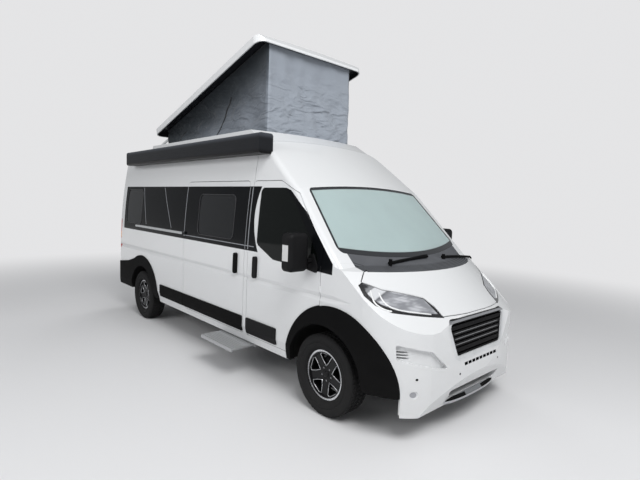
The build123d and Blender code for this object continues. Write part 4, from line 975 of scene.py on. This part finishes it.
# Each bed pad: size, place and number of channels
bedSizes = dict(crown=0.02, channelDepth=0.006,
                pads=(((1.62, 0.86, 0.12), (-2.05, 0.435, 1.132), 5),
                      ((1.62, 0.86, 0.12), (-2.05, -0.435, 1.132), 5),
                      ((0.42, 0.45, 0.09), (0.34, 0.655, 1.006), 3)))
bedParts = []
for size, place, channels in bedSizes["pads"]:
    pad = padMesh(size, bedSizes["crown"], channels=channels, channelDepth=bedSizes["channelDepth"])
    bedParts.append((pad, Matrix.Translation(place)))
bedPads = joinPads("bedPads", bedParts, mattressCloth)
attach(bedPads, "body")
print("stage: padded pieces")


# What repeats: one tree for rings and rows
def buildRepeatTree():
    tree = bpy.data.node_groups.new("repeatPieces", "GeometryNodeTree")
    for label, kind in (("Geometry", "Geometry"), ("Count", "Int"), ("Start Turn", "Float"),
                        ("Turn Step", "Float"),
                        ("Shift Step", "Vector"), ("Finish", "Material")):
        tree.interface.new_socket(label, in_out="INPUT", socket_type="NodeSocket" + kind)
    tree.interface.new_socket("Geometry", in_out="OUTPUT", socket_type="NodeSocketGeometry")
    given = {socket.name: Wire(socket) for socket in tree.nodes.new("NodeGroupInput").outputs}
    index = Wire(tree.nodes.new("GeometryNodeInputIndex").outputs[0])
    spin = newNode(tree, "ShaderNodeCombineXYZ", Y=scaleAdd(index, given["Turn Step"], given["Start Turn"]))
    shift = tree.nodes.new("ShaderNodeVectorMath")
    shift.operation = "SCALE"
    setInputs(shift, Vector=given["Shift Step"], Scale=index)
    points = newNode(tree, "GeometryNodePoints", Count=given["Count"], Position=shift)
    placed = newNode(tree, "GeometryNodeInstanceOnPoints", Points=points, Instance=given["Geometry"],
                     Rotation=spin)
    real = newNode(tree, "GeometryNodeRealizeInstances", Geometry=placed)
    finish = newNode(tree, "GeometryNodeSetMaterial", Geometry=real, Material=given["Finish"])
    newNode(tree, "NodeGroupOutput", Geometry=finish)
    return tree


repeatTree = buildRepeatTree()


def repeated(obj, count, mat, startTurn=0.0, turnStep=0.0, shiftStep=(0.0, 0.0, 0.0)):
    mod = obj.modifiers.new("repeat", "NODES")
    mod.node_group = repeatTree
    ids = {item.name: item.identifier for item in repeatTree.interface.items_tree if item.in_out == "INPUT"}
    values = {"Count": count, "Start Turn": float(startTurn), "Turn Step": float(turnStep),
              "Shift Step": shiftStep, "Finish": mat}
    for label, value in values.items():
        mod[ids[label]] = value
    obj.update_tag()
    return bakeModifiers(obj)


def ringOf(obj, count, turn, mat):
    return repeated(obj, count, mat, turn, 2 * math.pi / count)


def bandFaces(rows, count, closed=False):
    faces = []
    for i in range(rows if closed else rows - 1):
        n = (i + 1) % rows
        for j in range(count):
            k = (j + 1) % count
            faces.append((i * count + j, i * count + k, n * count + k, n * count + j))
    return faces


def revolved(profile, segments):
    verts = []
    for i in range(segments):
        a = 2 * math.pi * i / segments
        verts += [(r * math.sin(a), y, r * math.cos(a)) for r, y in profile]
    return verts, bandFaces(segments, len(profile), True)


# Wheels: side wall as steps out from the bead and in from the half width, tread rows by y and width
wheelPlaces = dict(half=0.905, z=0.362, corners=(("front_left", 2.051, 1), ("front_right", 2.051, -1),
                                                 ("rear_left", -1.984, 1), ("rear_right", -1.984, -1)))
tyre = dict(radius=0.362, half=0.1125, bead=0.2053, groove=0.008, segments=96,
            beadLip=((0, 0.058), (0.016, 0.0585), (0.0165, 0.086)),
            wall=((0.035, 0.010), (0.062, 0), (0.075, 0.001), (0.077, 0.004), (0.083, 0.004),
                  (0.085, 0.0015)),
            shoulder=((0.045, 0.002), (0.020, 0.010), (0.008, 0.022)),
            blocks=60, blockShare=0.86, blockSkew=0.010, blockRoot=0.004, blockTop=0.0006, taper=0.94,
            stagger=0.05,
            rows=((-0.072, 0.034), (-0.024, 0.036), (0.024, 0.036), (0.072, 0.034)))
rim = dict(face=0.052, dish=0.010, hub=0.075, inner=0.193, spokes=5, edge=0.0036,
           pocket=((0, 0.002), (0.036, 0.043), (0.070, 0.092), (0.050, 0.111)),
           lip=((0.204, 0.0748), (0.2205, 0.0748), (0.2205, 0.0768), (0.204, 0.0768)),
           cap=((0.0005, 0.050), (0.030, 0.050), (0.033, 0.053), (0.030, 0.058), (0.010, 0.060),
                (0.0005, 0.060)),
           capSegments=40, boltRing=0.059, nut=((0.010, 0.030), (0.010, 0.048), (0.006, 0.051)))


def tyreProfile(t):
    outer = [(t["bead"] + out, y) for out, y in t["beadLip"]]
    outer += [(t["bead"] + out, t["half"] - y) for out, y in t["wall"]]
    outer += [(t["radius"] - r, t["half"] - y) for r, y in t["shoulder"]]
    return [(r, -y) for r, y in outer] + [(r, y) for r, y in reversed(outer)]


def treadBlock(t, y, width):
    length = 2 * math.pi * t["radius"] / t["blocks"] * t["blockShare"]
    skew = t["blockSkew"] if y > 0 else -t["blockSkew"]
    verts = []
    for r, shrink in ((t["radius"] - t["groove"] - t["blockRoot"], 1.0),
                      (t["radius"] - t["blockTop"], t["taper"])):
        for sx, sy in ((-1, -1), (1, -1), (1, 1), (-1, 1)):
            a = (sx * length / 2 * shrink + sy * skew / 2) / t["radius"]
            verts.append((r * math.sin(a), y + sy * width / 2 * shrink, r * math.cos(a)))
    return verts, [(3, 2, 1, 0), (4, 5, 6, 7), (0, 1, 5, 4), (1, 2, 6, 5), (2, 3, 7, 6), (3, 0, 4, 7)]


def spokeLine(r):
    half = [(x, r["hub"] + rise) for x, rise in r["pocket"]]
    outline = half + [(-x, z) for x, z in reversed(half[1:])]
    span = r["inner"] - r["hub"]
    return [(x, r["face"] + r["dish"] * max(0.0, (math.hypot(x, z) - r["hub"]) / span), z) for x,
            z in outline]


def hexNut(profile, ring):
    verts = []
    for r, y in profile:
        for i in range(6):
            a = math.pi / 3 * i
            verts.append((r * math.sin(a), y, ring + r * math.cos(a)))
    return verts, bandFaces(len(profile), 6) + [tuple(range(len(verts) - 6, len(verts)))]


def dressWheel(corner, x, side):
    place = Matrix.Translation((x, side * wheelPlaces["half"], wheelPlaces["z"])) @ Matrix.Diagonal((1, side,
                                                                                                     1, 1))
    body = "wheel_" + corner
    carcass = meshObject("tyreWall_" + corner, *revolved(tyreProfile(tyre), tyre["segments"]), tyreRubber)
    bm = bmesh.new()
    bm.from_mesh(carcass.data)
    for y, width in tyre["rows"]:
        row = meshObject("treadRow", *treadBlock(tyre, y, width), tyreRubber, False)
        ringOf(row, tyre["blocks"], tyre["stagger"] if y > 0 else 0.0, tyreRubber)
        bm.from_mesh(row.data)
        bpy.data.objects.remove(row)
    bm.transform(place)
    bmesh.ops.recalc_face_normals(bm, faces=bm.faces)
    bm.to_mesh(carcass.data)
    bm.free()
    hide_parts("tyre_" + corner)
    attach(carcass, body)
    edge = tubeObject("spokeEdges_" + corner, [spokeLine(rim)], rim["edge"], rimSilver, True)
    ringOf(edge, rim["spokes"], 0.0, rimSilver)
    lip = meshObject("rimLip_" + corner, *revolved(rim["lip"], tyre["segments"]), rimSilver, False)
    cap = meshObject("hubCap_" + corner, *revolved(rim["cap"], rim["capSegments"]), rimBlack)
    nuts = meshObject("wheelBolts_" + corner, *hexNut(rim["nut"], rim["boltRing"]), steelTube, False)
    ringOf(nuts, rim["spokes"], math.pi / rim["spokes"], steelTube)
    for obj, slotName in ((edge, "alloy"), (lip, "alloy"), (cap, "alloy"), (nuts, "steel")):
        obj.data.transform(place)
        settle(obj, body)


for corner, x, side in wheelPlaces["corners"]:
    dressWheel(corner, x, side)
print("stage: wheels")

# Light bars behind the head lamp lens, right side: x, y, z
lampBars = dict(radius=0.007, steps=6,
                bars=(((2.474, -0.908, 1.175), (2.506, -0.927, 1.138), (2.554, -0.939, 1.090),
                       (2.612, -0.911, 1.053),
                       (2.661, -0.860, 1.034)),
                      ((2.517, -0.859, 1.159), (2.556, -0.868, 1.122), (2.600, -0.865, 1.085),
                       (2.650, -0.834, 1.055),
                       (2.722, -0.741, 1.029), (2.822, -0.562, 1.002))))
barLines = []
for points in lampBars["bars"]:
    line = smoothLine(points, lampBars["steps"])
    barLines += [line, [(p.x, -p.y, p.z) for p in line]]
settle(tubeObject("lampLightBars", barLines, lampBars["radius"], lensWhite), "body")

# Silver lip under the front bumper, with dark inserts
skidLip = dict(half=0.47, steps=28, bow=0.030, taper=0.6, insertHalf=0.12, insertMiddle=0.27,
               insertZ=(0.262, 0.282),
               section=((2.868, 0.300), (2.925, 0.287), (2.946, 0.262), (2.940, 0.238), (2.868, 0.226)))


def buildSkidLip(c):
    verts = []
    count = len(c["section"])
    root = c["section"][0][0]
    for i in range(c["steps"] + 1):
        y = c["half"] * (2 * i / c["steps"] - 1)
        share = (y / c["half"]) ** 2
        for x, z in c["section"]:
            reach = (x - root) * (1 - c["taper"] * share ** 3)
            verts.append((root + reach - c["bow"] * share, y, z))
    ends = [tuple(range(count)), tuple(range(c["steps"] * count, len(verts)))]
    faces = bandFaces(c["steps"] + 1, count) + ends
    obj = meshObject("skidLip", verts, faces, satinSilver, False)
    obj.data.materials.append(blackTrim)
    low, high = c["insertZ"]
    for poly in obj.data.polygons:
        inInsert = abs(abs(poly.center.y) - c["insertMiddle"]) < c["insertHalf"]
        if inInsert and low < poly.center.z < high:
            poly.material_index = 1
    return obj


settle(buildSkidLip(skidLip), "body")

# Frames round the fixed side windows: x and z limits, side
sideSkin = dict(half=1.022, shoulder=1.000, radius=7.618, proud=0.001)
windowFrames = dict(radius=0.005, corner=0.070, steps=8,
                    rects=((-0.255, 0.560, 1.425, 1.915, -1), (-2.690, -2.060, 1.440, 1.960, -1),
                           (-2.690, -1.900, 1.410, 1.960, 1), (-0.300, 0.620, 1.425, 1.940, 1)))


def skinY(z):
    s = sideSkin
    return s["half"] - s["radius"] + math.sqrt(s["radius"] ** 2 - (z - s["shoulder"]) ** 2) + s["proud"]


def frameLine(xLow, xHigh, zLow, zHigh, side, corner, steps):
    line = []
    left, right, low, high = xLow + corner, xHigh - corner, zLow + corner, zHigh - corner
    for turn, (cx, cz) in enumerate(((right, high), (left, high), (left, low), (right, low))):
        for k in range(steps + 1):
            a = math.pi / 2 * (turn + k / steps)
            x, z = cx + corner * math.cos(a), cz + corner * math.sin(a)
            line.append((x, side * skinY(z), z))
    return line


frames = [frameLine(*rect, windowFrames["corner"], windowFrames["steps"]) for rect in windowFrames["rects"]]
settle(tubeObject("windowFrames", frames, windowFrames["radius"], frameBlack, True), "body")

# Ribs on the step
stepRibs = dict(count=9, first=-1.205, pitch=0.030, x=(0.330, 0.910), top=0.3448, foot=0.3400, width=0.010,
                bevel=0.0008)
ribLow = (stepRibs["x"][0], stepRibs["first"], stepRibs["foot"])
ribHigh = (stepRibs["x"][1], stepRibs["first"] + stepRibs["width"], stepRibs["top"])
ribs = boxObject("stepRibs", ribLow, ribHigh, stepAlloy, stepRibs["bevel"])
repeated(ribs, stepRibs["count"], stepAlloy, shiftStep=(0.0, stepRibs["pitch"], 0.0))
settle(ribs, "step")

# Handle on the right rear door
rearGrip = dict(x=(-2.995, -2.981), y=(-0.20, -0.05), z=(1.10, 1.16))
gripLow, gripHigh = zip(rearGrip["x"], rearGrip["y"], rearGrip["z"])
settle(boxObject("rearHandle", gripLow, gripHigh, blackTrim), "rear_door_right")
print("stage: small pieces")

# Close
print("stage: done")
